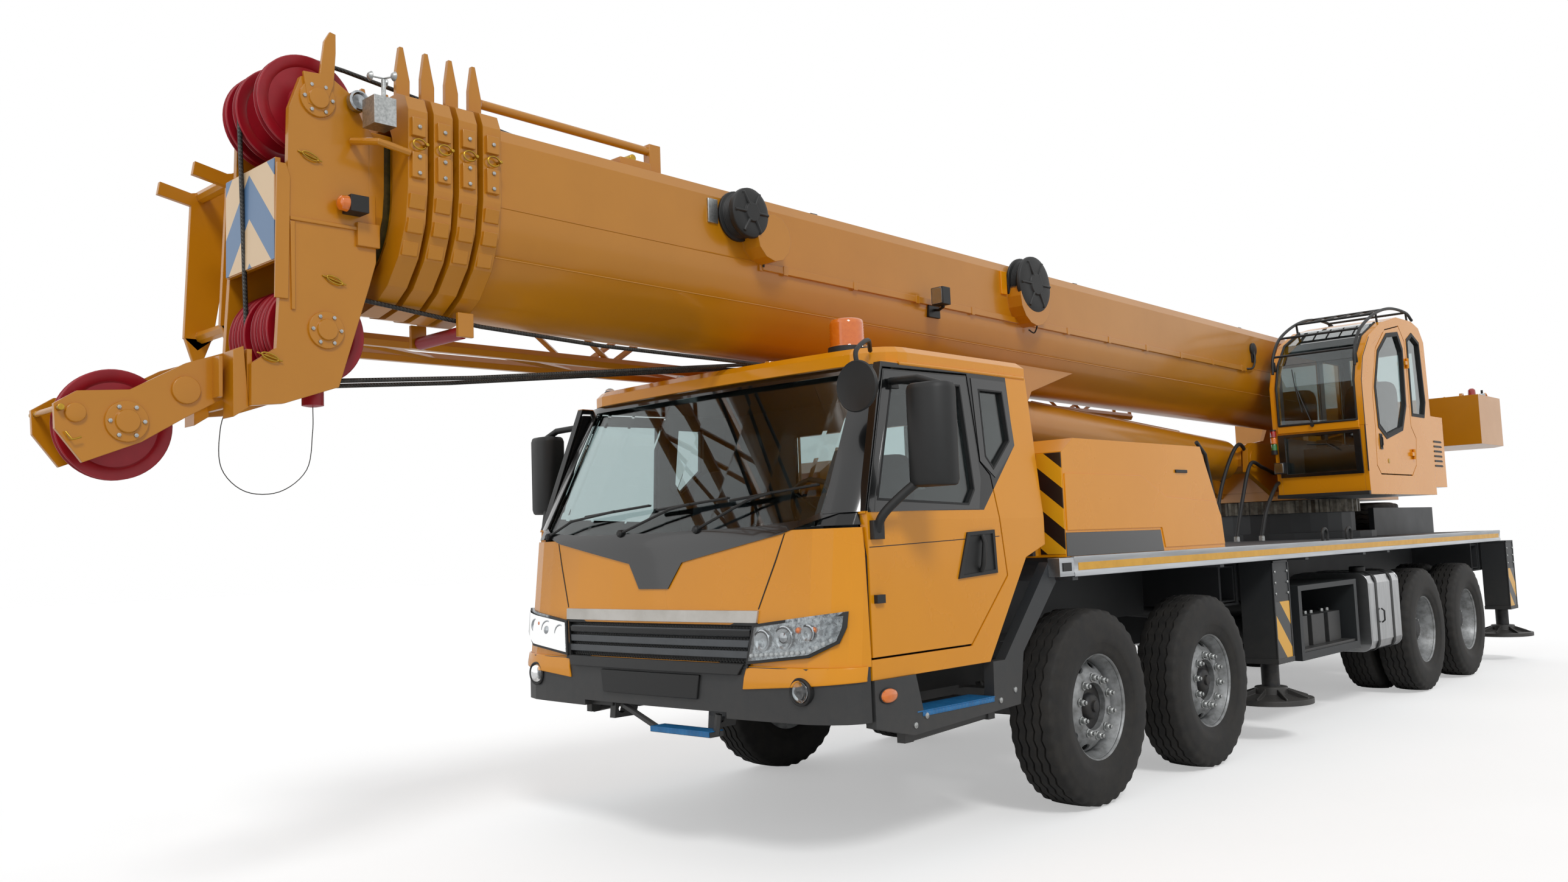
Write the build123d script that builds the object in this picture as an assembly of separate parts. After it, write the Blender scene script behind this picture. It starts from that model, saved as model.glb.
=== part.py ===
from build123d import *
from math import cos, hypot, pi, radians, sin
import os

# Four-axle telescopic truck crane, built as one assembly of separate pieces.
# Millimetres in a station frame: Y = 0 is the first axle, -Y is forward, +X is the vehicle's
# left and Z = 0 is the ground. Every piece is moved by SHIFT when it is written, so that the
# file's origin is the middle of the footprint. Round forms that nothing turns in are
# faceted, which keeps the whole machine light; pins and their bores are true cylinders.

# Overall sizes
AXLES = (0, 1455, 6010, 7360)
HALF_WIDTH = 1375
FRONT_END = -5055
REAR_END = 9420
SHIFT = -(FRONT_END + REAR_END) / 2

# Wheels
SEAT = 0.3
TYRE_R = 560
TYRE_W = 305
RIM_R = 297
WHEEL_SIDES = 16
AXLE_Z = 560
SINGLE_X = 1221
TWIN_X = (1195, 850)
KINGPIN_X = 950

# Deck and frame
DECK_TOP = 1423
DECK_FRONT = -244
DECK_REAR = 8548
DECK_EDGE_H = 112
RAIL = (330, 450)
TOW_EYE = (390, -2098, 697, 25, 44)
RAIL_Z = (930, 1290)

# Outriggers: lateral beams in two boxes, each with a jack at its outer end
BOX_FRONT = (2300, 2905)
BOX_REAR = (8630, 9235)
BOX_HALF = 1055
BEAM_W = 240
BEAM_Z = (1010, 1275)
JACK_X = 1200
JACK_R = 62
JACK_HOUSING = 250
JACK_Z = (555, 1300)
BEAM_TRAVEL = 1700
JACK_TRAVEL = 600
FLOAT_R = 285
FLOAT_Z = (262, 300)
FLOAT_SIDES = 16

# Driver's cab
CAB_FRONT_Y = -2205
CAB_REAR_Y = -400
CAB_FLOOR_Z = (905, 985)
CAB_ROOF_Z = (2440, 2530)
CAB_BOW_R = 12000
CAB_CORNER = (950, 340, 210)
CAB_CUT_Y = -1957
SCREEN_LEAN = 430
CAB_WALL = 45
CAB_SIDE = ((1290, 860), (1290, 1650), (1215, 2450))
DOOR_GAP = 10
DOOR_HINGE = (1288, -1946)

# Superstructure
SLEW_Y = 6100
RING_R = 750
RING_Z = (1670, 1790)
TURRET_BASE_Z = (1795, 1880)
FOOT_PIVOT = (7650, 3020)
PIN_R = 75
OPCAB_HINGE = (1315, 6245)
LIFT_EYE = (1000, 8930, 2920, 24, 30)
OPCAB_X = (500, 1300)

# Boom
BOOM_TILT = 0.75
BOOM_TOP = 333
BOOM_H = 850
BOOM_HALF = 380
BOOM_STEP = 30
BOOM_WALL = 8
BOOM_NOSE = 11095
COLLAR_PITCH = 120
COLLAR_T = 92
COLLAR_OUT = 42
BOOM_TRAVEL = 8650
LUFF_RANGE = 80
SHEAVE_R = 210
HEAD_TOP = (-4125, 3450)
HEAD_LOW = (-4095, 2490)
AUX_AXLE = (-4812, 2095)

# Luffing cylinder
LUFF_LOW = (4900, 2180)
LUFF_HIGH = (950, 2390)
LUFF_BARREL_R = 190
LUFF_ROD_R = 125
LUFF_BORE_R = 160


def block(x, y, z):
    """A box between pairs of limits."""
    size = Box(x[1] - x[0], y[1] - y[0], z[1] - z[0])
    return Pos((x[0] + x[1]) / 2, (y[0] + y[1]) / 2, (z[0] + z[1]) / 2) * size


def across(points, x):
    """An outline in (y, z) given a thickness between two x limits."""
    face = Plane.YZ.offset(x[0]) * Polygon(*points, align=None)
    return extrude(face, x[1] - x[0], dir=(1, 0, 0))


def along(points, y):
    """An outline in (x, z) given a length between two y limits."""
    face = Plane.XZ.offset(-y[1]) * Polygon(*points, align=None)
    return extrude(face, y[1] - y[0], dir=(0, -1, 0))


def upright(points, z):
    """An outline in (x, y) given a height between two z limits."""
    return extrude(Plane.XY.offset(z[0]) * Polygon(*points, align=None), z[1] - z[0], dir=(0, 0, 1))


def rod(start, end, radius, sides=8):
    """A bar between two points, round as far as its number of flat sides goes."""
    line = Vector(*end) - Vector(*start)
    face = Plane(origin=start, z_dir=line) * RegularPolygon(radius, sides)
    return extrude(face, line.length, dir=line.normalized())


def disc_x(x, y, z, radius, sides=12):
    """A faceted disc whose axis runs across the vehicle."""
    return rod((x[0], y, z), (x[1], y, z), radius, sides)


def pin_x(x, y, z, radius):
    """A true round pin, or the bore for one, across the vehicle."""
    plane = Plane(origin=(x[0], y, z), z_dir=(1, 0, 0))
    return plane * Cylinder(radius, x[1] - x[0], align=(Align.CENTER, Align.CENTER, Align.MIN))


def pin_seat(x, y, z, sides=12):
    """A faceted bore that a round pin of PIN_R turns in, across the vehicle."""
    return disc_x(x, y, z, (PIN_R + SEAT) / cos(pi / sides), sides)


def pillar(x, y, z, radius, sides=10):
    """A faceted upright disc or post between two heights."""
    return rod((x, y, z[0]), (x, y, z[1]), radius, sides)


def both(shape):
    """A shape and its mirror image on the other side of the vehicle."""
    return shape + mirror(shape, about=Plane.YZ)


def flip(shape):
    """The same piece for the vehicle's other side."""
    return mirror(shape, about=Plane.YZ)


def faceted(profile, sides):
    """A closed profile in (x, radius) carried round the X axis in flat facets."""
    turns = [2 * pi * (step + 0.5) / sides for step in range(sides)]
    rings = [[Vector(x, r * cos(a), r * sin(a)) for x, r in profile] for a in turns]
    faces = []
    for here, there in zip(rings, rings[1:] + rings[:1]):
        for first in range(len(profile)):
            last = (first + 1) % len(profile)
            corners = [here[first], here[last]]
            if profile[last][1] > 0:
                corners.append(there[last])
            if profile[first][1] > 0:
                corners.append(there[first])
            if len(corners) > 2:
                faces.append(Face(Wire.make_polygon(corners, close=True)))
    return Solid(Shell(faces))


def front_plan(y_front, half=1290):
    """Half the cab front in plan: nearly flat, then round the corner into the side."""
    start, wide, deep = CAB_CORNER
    line = [(x, y_front + x * x / (2 * CAB_BOW_R)) for x in (0, 350, 680, start)]
    edge = line[-1][1] + deep
    line += [(start + wide * sin(radians(a)), edge - deep * cos(radians(a))) for a in (20, 40, 58, 74, 90)]
    return [(x * half / 1290, y) for x, y in line]


def bow(y_front, depth, half=1290):
    """The cab front's plan from side to side, as a band of the given depth."""
    right = front_plan(y_front, half)
    outer = [(-x, y) for x, y in reversed(right[1:])] + right
    inner = [(x * (half - CAB_WALL) / half, y + depth) for x, y in reversed(outer)]
    return outer + inner


# Running gear

def tyre_side(x, way):
    """Half a tyre's outline, bead to tread, on one side of x. Its flats are TYRE_R from the axle."""
    half = TYRE_W / 2
    tread = TYRE_R / cos(pi / WHEEL_SIDES)
    side = [(112, RIM_R), (half - 6, 430), (half - 40, tread)]
    return [(x + way * across, radius) for across, radius in side]


def tyre_line(x):
    """A whole tyre's outline from its inner bead to its outer one."""
    return tyre_side(x, -1) + tyre_side(x, 1)[::-1]


def single_wheel():
    """A front wheel: tyre, rim, disc and hub, on an axis through x = 0."""
    profile = [(15, 0), (15, 250), (-112, 250)] + tyre_line(0)
    profile += [(112, 262), (45, 250), (45, 105), (125, 92), (125, 0)]
    return Pos(SINGLE_X, 0, 0) * faceted(profile, WHEEL_SIDES)


def twin_wheel():
    """A rear wheel: two tyres on one hub, dished on the outside."""
    half = (TWIN_X[0] - TWIN_X[1]) / 2
    reach = half - 100
    profile = [(-reach, 0), (-reach, 250), (-half - 112, 250)] + tyre_line(-half) + tyre_line(half)
    profile += [(half + 112, 262), (reach, 250), (reach, 125), (half + 60, 112), (half + 60, 0)]
    return Pos((TWIN_X[0] + TWIN_X[1]) / 2, 0, 0) * faceted(profile, WHEEL_SIDES)


def knuckle():
    """A steering knuckle with its kingpin boss, brake drum and track arm."""
    boss = pillar(KINGPIN_X, 0, (395, 725), 62)
    stub = disc_x((KINGPIN_X, SINGLE_X + 15 - SEAT), 0, AXLE_Z, 70)
    drum = disc_x((1040, 1190), 0, AXLE_Z, 205, 16)
    arm = block((KINGPIN_X - 90, KINGPIN_X - 20), (0, 260), (430, 470))
    return boss + stub + drum + arm


def axle_beams():
    solids = []
    for y in AXLES[:2]:
        end = KINGPIN_X - 62 - SEAT
        beam = block((-end, end), (y - 55, y + 55), (485, 635))
        spring = block((350, 430), (y - 560, y + 560), (650, 760))
        spring += block((350, 430), (y - 90, y + 90), (630, RAIL_Z[0] - SEAT))
        solids.append(beam + both(spring))
    for y in AXLES[2:]:
        end = TWIN_X[1] + 100 - SEAT
        beam = disc_x((-end, end), y, AXLE_Z, 85) + rod((0, y - 190, AXLE_Z), (0, y + 150, AXLE_Z), 205)
        pad = block((340, 440), (y - 100, y + 100), (600, RAIL_Z[0] - SEAT))
        solids.append(beam + both(pad))
    middle = (AXLES[2] + AXLES[3]) / 2
    spring = block((350, 430), (AXLES[2] - 150, AXLES[3] + 150), (700, 830))
    trunnion = block((345, 435), (middle - 120, middle + 120), (640, RAIL_Z[0] - SEAT))
    solids.append(both(spring + trunnion))
    return solids[0] + solids[1] + solids[2] + solids[3] + solids[4]


# Frame and deck

def beam_bays(box):
    """The y limits of a box's two beams: the rear one goes left, the front one right."""
    middle = (box[0] + box[1]) / 2
    gap = 25
    return (middle + gap, middle + gap + BEAM_W), (middle - gap - BEAM_W, middle - gap)


def outrigger_box(box):
    shell = block((-BOX_HALF, BOX_HALF), box, (985, 1300))
    for bay in beam_bays(box):
        shell -= block((-BOX_HALF - 1, BOX_HALF + 1), (bay[0] - 8, bay[1] + 8), (BEAM_Z[0] - 8, BEAM_Z[1] + 8))
    return shell


def tow_eye():
    x, y, z, bore, thick = TOW_EYE
    limits = (x - thick / 2, x + thick / 2)
    ear = across([(y - 52, z - 47), (y + 98, z - 47), (-1960, z + 93), (-2010, z + 93), (y - 42, z + 48)], limits)
    return ear - disc_x(limits, y, z, bore, 8)


def chassis_frame():
    low, high = RAIL_Z
    rail = across([(-2010, 700), (-2010, CAB_FLOOR_Z[0] - 15), (-930, CAB_FLOOR_Z[0] - 15), (-700, high),
                   (BOX_REAR[0] + 50, high), (BOX_REAR[0] + 50, low), (-600, low), (-850, 700)], RAIL)
    frame = both(rail) + block((-340, 340), (-2000, -1940), (720, 870)) + block((-340, 340), (-1100, -1040), (720, 870))
    for y in (2050, 3600, 4500, 5250, 6950, 8200):
        frame += block((-RAIL[0] - 10, RAIL[0] + 10), (y, y + 60), (960, 1260))
    for box in (BOX_FRONT, BOX_REAR):
        frame -= block((-BOX_HALF, BOX_HALF), (box[0] + 1, box[1] - 1), (900, 1400))
        frame += outrigger_box(box)
    frame += pillar(0, SLEW_Y, (1285, 1484), 880, 24) + pillar(0, SLEW_Y, (1484, RING_Z[0] - SEAT), 700, 24)
    frame += block((-RAIL[1], RAIL[1]), (SLEW_Y - 900, SLEW_Y + 900), (RAIL_Z[0], 1300))
    wall = block((690, 740), (SLEW_Y + 520, 8500), (RAIL_Z[1] + 10, 1700))
    floor = block((-700, 700), (SLEW_Y + 800, 8500), (1290, 1310))
    end = block((-740, 740), (8450, 8500), (1300, 1700))
    lamp = block((700, 1030), (BOX_REAR[1], BOX_REAR[1] + 45), (1060, 1170))
    frame += both(wall) + floor + end + both(lamp)
    return frame + both(tow_eye())


def deck():
    top = (DECK_TOP - 20, DECK_TOP)
    edge_z = (DECK_TOP - DECK_EDGE_H, DECK_TOP)
    plate = block((-HALF_WIDTH, HALF_WIDTH), (DECK_FRONT, DECK_REAR), top)
    plate += both(block((HALF_WIDTH - 40, HALF_WIDTH), (DECK_FRONT, DECK_REAR), edge_z))
    plate -= block((-345, 345), (DECK_FRONT - 1, 1250), (1300, 1500))
    plate -= pillar(0, SLEW_Y, (DECK_TOP - 30, DECK_TOP + 30), 905, 24)
    plate -= block((-740 - SEAT, 740 + SEAT), (SLEW_Y + 400, DECK_REAR + 1), (1300, 1500))
    for y in (-220, 1700, 3200, 4450, 5050):
        plate += both(block((355, HALF_WIDTH - 30), (y, y + 60), (RAIL_Z[1] + SEAT, top[0])))
    for y in (7500, 8460):
        plate += both(block((740 + SEAT, HALF_WIDTH - 30), (y, y + 60), (edge_z[0], top[0])))
    return plate


SKIRT = [(-1954, 685), (-1669, 618), (-742, 660), (-690, 930), (-322, 1290), (-392, 1400),
         (-870, 905 - SEAT), (-980, 905 - SEAT), (-985, 722), (-1590, 722), (-1640, 905 - SEAT), (-1954, 905 - SEAT)]


def front_bumper():
    """The dark bumper round the cab's front, side skirts, and the boarding and front steps."""
    band = upright(bow(CAB_FRONT_Y - 12, 60), (715, 970)) & block((-1300, 1300), (-2400, CAB_CUT_Y), (700, 990))
    band -= block((-560, 560), (-2400, -2150), (715, 745))
    skirt = across(SKIRT, (1238, 1300))
    step = block((1040, 1270), (-1640, -980), (690, 722)) + rod((1210, -1640, 590), (1210, -900, 625), 22, 6)
    step += block((1190, 1238), (-1669, -1600), (575, 722)) + block((1190, 1238), (-960, -900), (600, 722))
    fold = rod((470, -2190, 630), (490, -2190, 730), 18, 6) + rod((40, -2190, 630), (-230, -2190, 730), 18, 6)
    fold += block((30, 480), (-2240, -2150), (620, 645))
    return band + both(skirt + step) + fold


def engine():
    """The engine, as one plain block with its gearbox."""
    feet = both(block((300, RAIL[0] - SEAT), (150, 250), (1000, 1120)))
    feet += both(block((200, RAIL[0] - SEAT), (1600, 1700), (1040, 1140)))
    return block((-310, 310), (-230, 1180), (860, 1900)) + block((-220, 220), (1180, 1900), (980, 1240)) + feet


def side_boxes():
    """The covers of the engine bay, left and right, with their sloped rear ends."""
    outline = [(-285, DECK_TOP), (1777, DECK_TOP), (1740, 1640), (1485, 2100), (-150, 2100), (-285, 2020)]
    cover = across(outline, (460, 1355)) - across([(-230, 1400), (1710, 1400), (1690, 1620), (1455, 2070),
                                                   (-130, 2070), (-230, 2000)], (490, 1325))
    return both(cover)


def tanks():
    """Fuel tank and battery box on the left, hydraulic tank and tool box on the right."""
    low, high = 465, 1130
    near, far = 640, 1315
    corner, part = 90, 26
    outline = []
    for x, z, way_x, way_z in ((near, low, 1, 1), (near, high, 1, -1), (far, high, -1, -1), (far, low, -1, 1)):
        bend = [(x, z + way_z * corner), (x + way_x * part, z + way_z * part), (x + way_x * corner, z)]
        outline += bend if way_x == way_z * -1 else bend[::-1]
    tank = along(outline, (4620, 5360))
    cap = pillar(1100, 4990, (high - 10, high + 35), 60)
    box = block((640, 1270), (3200, 4450), (520, 1090)) - block((700, 1271), (3260, 4390), (580, 1050))
    bracket = block((450, 660), (3600, 3680), (960, 1080)) + block((450, 660), (4900, 4980), (960, 1080))
    return both(tank + cap + box + bracket)


def spare_wheel():
    """The spare, lying flat on its stand in the well behind the slewing ring."""
    lying = Rot(0, 90, 0) * faceted([(-112, 250)] + tyre_line(0) + [(112, 250)], WHEEL_SIDES)
    stand = pillar(0, 7880, (1310 + SEAT, 1480), 300)
    plate = pillar(0, 7880, (1560, 1590), 262)
    return Pos(0, 7880, 1775 - TYRE_W / 2) * lying + stand + plate + pillar(0, 7880, (1480, 1560), 80)


# Driver's cab

def side_shell(y=(-2100, -380)):
    """The leaning outer skin of the cab's left side, as a long slab."""
    outer = [tuple(p) for p in CAB_SIDE]
    inner = [(x - CAB_WALL, z) for x, z in reversed(outer)]
    return along(outer + inner, y)


DOOR = [(-1945, 1010), (-1945, 1680), (-1690, 2400), (-985, 2415), (-960, 1950), (-880, 1880), (-795, 1345),
        (-1150, 1010)]
DOOR_WINDOW = [(-1860, 1745), (-1640, 2350), (-1055, 2360), (-1040, 1800), (-1110, 1720)]
QUARTER_WINDOW = [(-905, 1980), (-890, 2350), (-660, 2350), (-650, 2070), (-840, 1910)]
SIDE = [(CAB_CUT_Y + 2, 905), (CAB_CUT_Y + 2, 1684), (-1700, 2440 - SEAT), (CAB_REAR_Y, 2440 - SEAT),
        (CAB_REAR_Y, 1500), (-600, 1435), (-990, 905)]


def window_hole(points, by=0):
    """A cutter through the left side of the cab."""
    face = Polygon(*points, align=None)
    if by:
        face = offset(face, by, kind=Kind.INTERSECTION)
    return extrude(Plane.YZ.offset(1000) * face, 500, dir=(1, 0, 0))


def cab_side_left():
    panel = across(SIDE, (1000, 1500)) & side_shell()
    return panel - window_hole(DOOR, DOOR_GAP) - window_hole(QUARTER_WINDOW)


def cab_sides():
    return both(cab_side_left())


def door_left():
    skin = across(DOOR, (1000, 1500)) & side_shell()
    return skin - window_hole(DOOR_WINDOW)


def door_glass():
    return (window_hole(DOOR_WINDOW, -1)) & Pos(-16, 0, 0) * (side_shell() - Pos(-8, 0, 0) * side_shell())


def slanted(points, z, lean):
    """A plan outline raised between two heights, moving back by lean on the way."""
    face = Plane.XY.offset(z[0]) * Polygon(*points, align=None)
    travel = Vector(0, lean, z[1] - z[0])
    return extrude(face, travel.length, dir=travel.normalized())


def cab_envelope():
    """Everything inside the cab's leaning sides."""
    half = [tuple(point) for point in CAB_SIDE]
    return along([(-x, z) for x, z in reversed(half)] + half, (-2400, 0))


HEADLAMP = [(705, 985), (735, 1170), (880, 1188), (1225, 1228), (1205, 1090), (1080, 1024)]
GRILLE = [(-700, 985), (-735, 1168), (735, 1168), (700, 985)]


def cab_front_wall():
    """The painted front with its rounded corners, a recessed slatted grille and the headlamps."""
    wall = slanted(bow(CAB_FRONT_Y, 60), (970 + SEAT, 1620), 70)
    wall -= slanted(bow(CAB_FRONT_Y - 40, 65), (960, 1620), 70) & along(GRILLE, (-2400, -2000))
    for z in (1010, 1062, 1114):
        wall += upright(bow(CAB_FRONT_Y + 8, 40), (z, z + 28)) & block((-712, 712), (-2400, -2000), (z, z + 28))
    lamp = slanted(bow(CAB_FRONT_Y - 8, 40), (975, 1300), 35) & along(HEADLAMP, (-2400, CAB_CUT_Y))
    return (wall + both(lamp)) & block((-1300, 1300), (-2400, CAB_CUT_Y), (900, 1700)) & cab_envelope()


def windscreen_band(depth, inset=0):
    return slanted(bow(CAB_FRONT_Y + 75 + inset, depth), (1625, 2439), SCREEN_LEAN)


def cab_roof():
    """The roof with its beacon."""
    right = front_plan(CAB_FRONT_Y + 75 + SCREEN_LEAN - 30, 1212)
    plan = [(-x, y) for x, y in reversed(right[1:])] + right + [(1212, CAB_REAR_Y), (-1212, CAB_REAR_Y)]
    cap = chamfer(upright(plan, CAB_ROOF_Z).edges().group_by(Axis.Z)[-1], 32)
    return cap + pillar(820, -1480, (CAB_ROOF_Z[1] - 5, 2560), 95) + pillar(820, -1480, (2560, 2722), 80)


def cab_rear():
    wall = along([(-1244, 1435), (1244, 1435), (1244, 1650), (1170, 2440), (-1170, 2440), (-1244, 1650)],
                 (CAB_REAR_Y - 60, CAB_REAR_Y))
    lower = block((-1150, 1150), (-1000, -950), (990, 1440)) + block((-1150, 1150), (-1000, CAB_REAR_Y), (1440, 1475))
    return wall + lower - block((-520, 520), (CAB_REAR_Y - 100, CAB_REAR_Y + 50), (1850, 2250))


def cab_floor():
    right = front_plan(CAB_FRONT_Y + 68, 1188)
    plan = [(-x, y) for x, y in reversed(right[1:])] + right
    return upright(plan + [(1188, -1010), (-1188, -1010)], CAB_FLOOR_Z)


def cab_glass():
    screen = windscreen_band(8, 20) & block((-1096, 1096), (-2300, -1500), (1632, 2430))
    rear = block((-518, 518), (CAB_REAR_Y - 36, CAB_REAR_Y - 28), (1852, 2248))
    quarter = window_hole(QUARTER_WINDOW, -1) & Pos(-16, 0, 0) * (side_shell() - Pos(-8, 0, 0) * side_shell())
    return screen + rear + both(quarter)


def cab_posts():
    """The posts either side of the windscreen, as far back as the doors."""
    outline = [(-2250, 1632), (CAB_CUT_Y, 1632), (CAB_CUT_Y, 1684), (-1703, 2400), (-1703, 2440 - SEAT),
               (-2250, 2440 - SEAT)]
    post = across(outline, (1098, 1300)) & windscreen_band(160) & cab_envelope()
    return both(post)


def seat(x, y, z):
    cushion = block((x - 250, x + 250), (y - 260, y + 220), (z + 260, z + 400))
    back = across([(y + 160, z + 380), (y + 250, z + 380), (y + 350, z + 1050), (y + 270, z + 1060)],
                  (x - 240, x + 240))
    base = block((x - 170, x + 170), (y - 170, y + 170), (z, z + 270))
    return cushion + back + base


def cab_interior():
    dash = block((-980, 980), (-1940, -1700), (1350, 1600))
    legs = block((-980, -880), (-1940, -1720), (986, 1400)) + block((880, 980), (-1940, -1720), (986, 1400))
    tunnel = block((-350, 350), (-1940, -1060), (986, 1120))
    column = rod((620, -1800, 1500), (620, -1480, 1690), 30)
    wheel = Plane((620, -1470, 1695), z_dir=(0, 320, 190))
    ring = extrude(wheel * (RegularPolygon(230, 16) - RegularPolygon(205, 16)), 30)
    spoke = wheel * Box(430, 40, 20)
    return dash + legs + tunnel + column + ring + spoke + seat(620, -1270, 1119 - 134) + seat(-640, -1270, 985)


def mirror_left():
    """A rear-view mirror on two arms, carried by the door."""
    house = upright([(1410, -1750), (1450, -1815), (1590, -1800), (1640, -1735), (1640, -1670), (1620, -1650),
                     (1430, -1650), (1410, -1670)], (1800, 2290))
    low = rod((1309, -1890, 1625), (1490, -1740, 1850), 20, 6)
    high = rod((1245, -1640, 2322), (1500, -1725, 2250), 18, 6)
    pads = block((1291, 1315), (-1925, -1855), (1590, 1648)) + block((1231, 1252), (-1670, -1610), (2300, 2345))
    return house + low + high + pads


# Superstructure

def slewing_ring():
    """The slewing ring with its outside teeth."""
    teeth = 40
    outline = []
    for tooth in range(teeth):
        for share, radius in ((0.05, RING_R - 22), (0.3, RING_R), (0.55, RING_R), (0.8, RING_R - 22)):
            turn = 2 * pi * (tooth + share) / teeth
            outline.append((radius * cos(turn), SLEW_Y + radius * sin(turn)))
    return upright(outline, RING_Z) - pillar(0, SLEW_Y, (RING_Z[0] - 1, RING_Z[1] + 1), 560, 24)


def turret():
    """The turntable: base plate, two tall side plates, nose ears and winch bed."""
    low, high = TURRET_BASE_Z
    base = block((-700, 480), (5350, 8300), (low, high)) & pillar(0, 6700, (low, high), 1620, 24)
    side = across([(5350, high), (8350, high), (8350, 2330), (8050, 2400), (7900, 3080), (7780, 3180),
                   (7520, 3180), (7400, 3080), (6900, 2480), (5750, 2330)], (430, 470))
    nose = across([(4760, 2060), (5360, 1830), (5760, 1880), (5760, 2330), (5350, 2330), (4900, 2330),
                   (4780, 2280)], (235, 285))
    nose -= pin_seat((200, 320), *LUFF_LOW)
    nose_tie = block((-240, 240), (5345, 5400), (1880, 2300))
    tail = block((-470, 470), (8200, 9300), (1860, 1920))
    tail += both(block((430, 470), (8340, 9300), (1860, 2350 - SEAT)))
    carriers = block((460, 499), (5500, 5620), (1900, 2150)) + block((460, 499), (6500, 6620), (1900, 2150))
    pin = both(pin_x((375, 470), *FOOT_PIVOT, PIN_R))
    return base + both(side + nose) + nose_tie + tail + carriers + pin


def counterweight():
    """A U-shaped block round the winches, with chamfered rear corners and lifting eyes."""
    outline = [(480, 8300), (1340, 8300), (1340, 9150), (1180, 9420), (-1180, 9420), (-1340, 9150),
               (-1340, 8300), (-480, 8300), (-480, 9150), (480, 9150)]
    body = upright(outline, (2350, 2880))
    x, y, z, bore, thick = LIFT_EYE
    eye = across([(y - 70, z - 50), (y - 30, z + 40), (y + 30, z + 40), (y + 70, z - 50)], (x, x + thick))
    return body + both(eye - pin_x((x, x + thick), y, z, bore))


def drum(y, z):
    barrel = disc_x((-360, 360), y, z, 150)
    flange = disc_x((-395, -360), y, z, 210) + disc_x((360, 395), y, z, 210)
    shaft = disc_x((-430 + SEAT, 430 - SEAT), y, z, 60)
    return barrel + flange + shaft


def winches():
    return drum(8440, 2180) + drum(8890, 2180)


OPCAB = [(4900, 1800), (4862, 2390), (4850, 2800), (4930, 3010), (5120, 3210), (5500, 3370), (5915, 3460),
         (6350, 3465), (6560, 3420), (6690, 3290), (6720, 2825), (6750, 1800)]
OPCAB_DOOR = [(5125, 2720), (5135, 2400), (5110, 2060), (5200, 1985), (6050, 1985), (6180, 2080), (6235, 2330),
              (6110, 2440), (6100, 3245), (5960, 3375), (5560, 3300), (5290, 3110)]
OPCAB_DOOR_WINDOW = [(5200, 2760), (5230, 2420), (5420, 2330), (5850, 2420), (5990, 2640), (6010, 3150),
                     (5900, 3290), (5600, 3250), (5340, 3080)]
OPCAB_QUARTER = [(6180, 2560), (6180, 3260), (6330, 3330), (6520, 3260), (6580, 2700), (6520, 2560)]
OPCAB_WALL = 40


def opcab_inset(by):
    return offset(Polygon(*OPCAB, align=None), -by, kind=Kind.INTERSECTION)


def opcab_ring(x, by=OPCAB_WALL):
    """The operator cab's outline as a hollow band between two x limits."""
    band = Polygon(*OPCAB, align=None) - opcab_inset(by)
    return extrude(Plane.YZ.offset(x[0]) * band, x[1] - x[0], dir=(1, 0, 0))


def opcab_cut(points, x, by=0):
    face = Polygon(*points, align=None)
    if by:
        face = offset(face, by, kind=Kind.INTERSECTION)
    return extrude(Plane.YZ.offset(x[0]) * face, x[1] - x[0], dir=(1, 0, 0))


def opcab_sides():
    left = across(OPCAB, (OPCAB_X[1] - OPCAB_WALL, OPCAB_X[1])) & block((0, 2000), (4000, 8000), (1800, 3500))
    left -= opcab_cut(OPCAB_DOOR, (1200, 1400), DOOR_GAP)
    left -= opcab_cut(OPCAB_QUARTER, (1200, 1400))
    right = across(OPCAB, (OPCAB_X[0], OPCAB_X[0] + OPCAB_WALL))
    right -= block((450, 650), (5050, 6000), (2350, 3150)) + block((450, 650), (6100, 6600), (2350, 3150))
    return left + right


def opcab_floor():
    """Floor, front apron with its lower window opening, and the roof's front frame posts."""
    inner = (OPCAB_X[0] + OPCAB_WALL + 1, OPCAB_X[1] - OPCAB_WALL - 1)
    band = opcab_ring(inner) & block((0, 2000), (4000, 6600), (1790, 2440))
    floor = block(inner, (4930, 6700), (1800, 1870))
    window = block((590, 1210), (4800, 5000), (2010, 2350))
    return band + floor - window


def opcab_roof():
    """Rear wall, roof panel and the louvred box behind the cab."""
    inner = (OPCAB_X[0] + OPCAB_WALL + 1, OPCAB_X[1] - OPCAB_WALL - 1)
    band = opcab_ring(inner) & block((0, 2000), (5700, 8000), (1871, 3600))
    band -= block((600, 1190), (6500, 6900), (2450, 3200))
    box = block((700, 1260), (6751, 7240), (1880, 2580))
    return band + box


def opcab_glass():
    inner = (OPCAB_X[0] + OPCAB_WALL + 3, OPCAB_X[1] - OPCAB_WALL - 3)
    thin = (Polygon(*OPCAB, align=None) - opcab_inset(8))
    band = extrude(Plane.YZ.offset(inner[0]) * thin, inner[1] - inner[0], dir=(1, 0, 0))
    front = band & block((0, 2000), (4000, 5698), (2445, 3600))
    lower = block((591, 1209), (4895, 4903), (2011, 2349))
    rear = band & block((601, 1189), (6500, 6900), (2451, 3199))
    quarter = opcab_cut(OPCAB_QUARTER, (1276, 1284), -1)
    right = block((516, 524), (5051, 5999), (2351, 3149)) + block((516, 524), (6101, 6599), (2351, 3149))
    return front + lower + quarter + right + rear


def opcab_door():
    skin = opcab_cut(OPCAB_DOOR, (OPCAB_X[1] - OPCAB_WALL, OPCAB_X[1]))
    return skin - opcab_cut(OPCAB_DOOR_WINDOW, (1200, 1400))


def opcab_door_glass():
    return opcab_cut(OPCAB_DOOR_WINDOW, (1276, 1284), -1)


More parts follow.
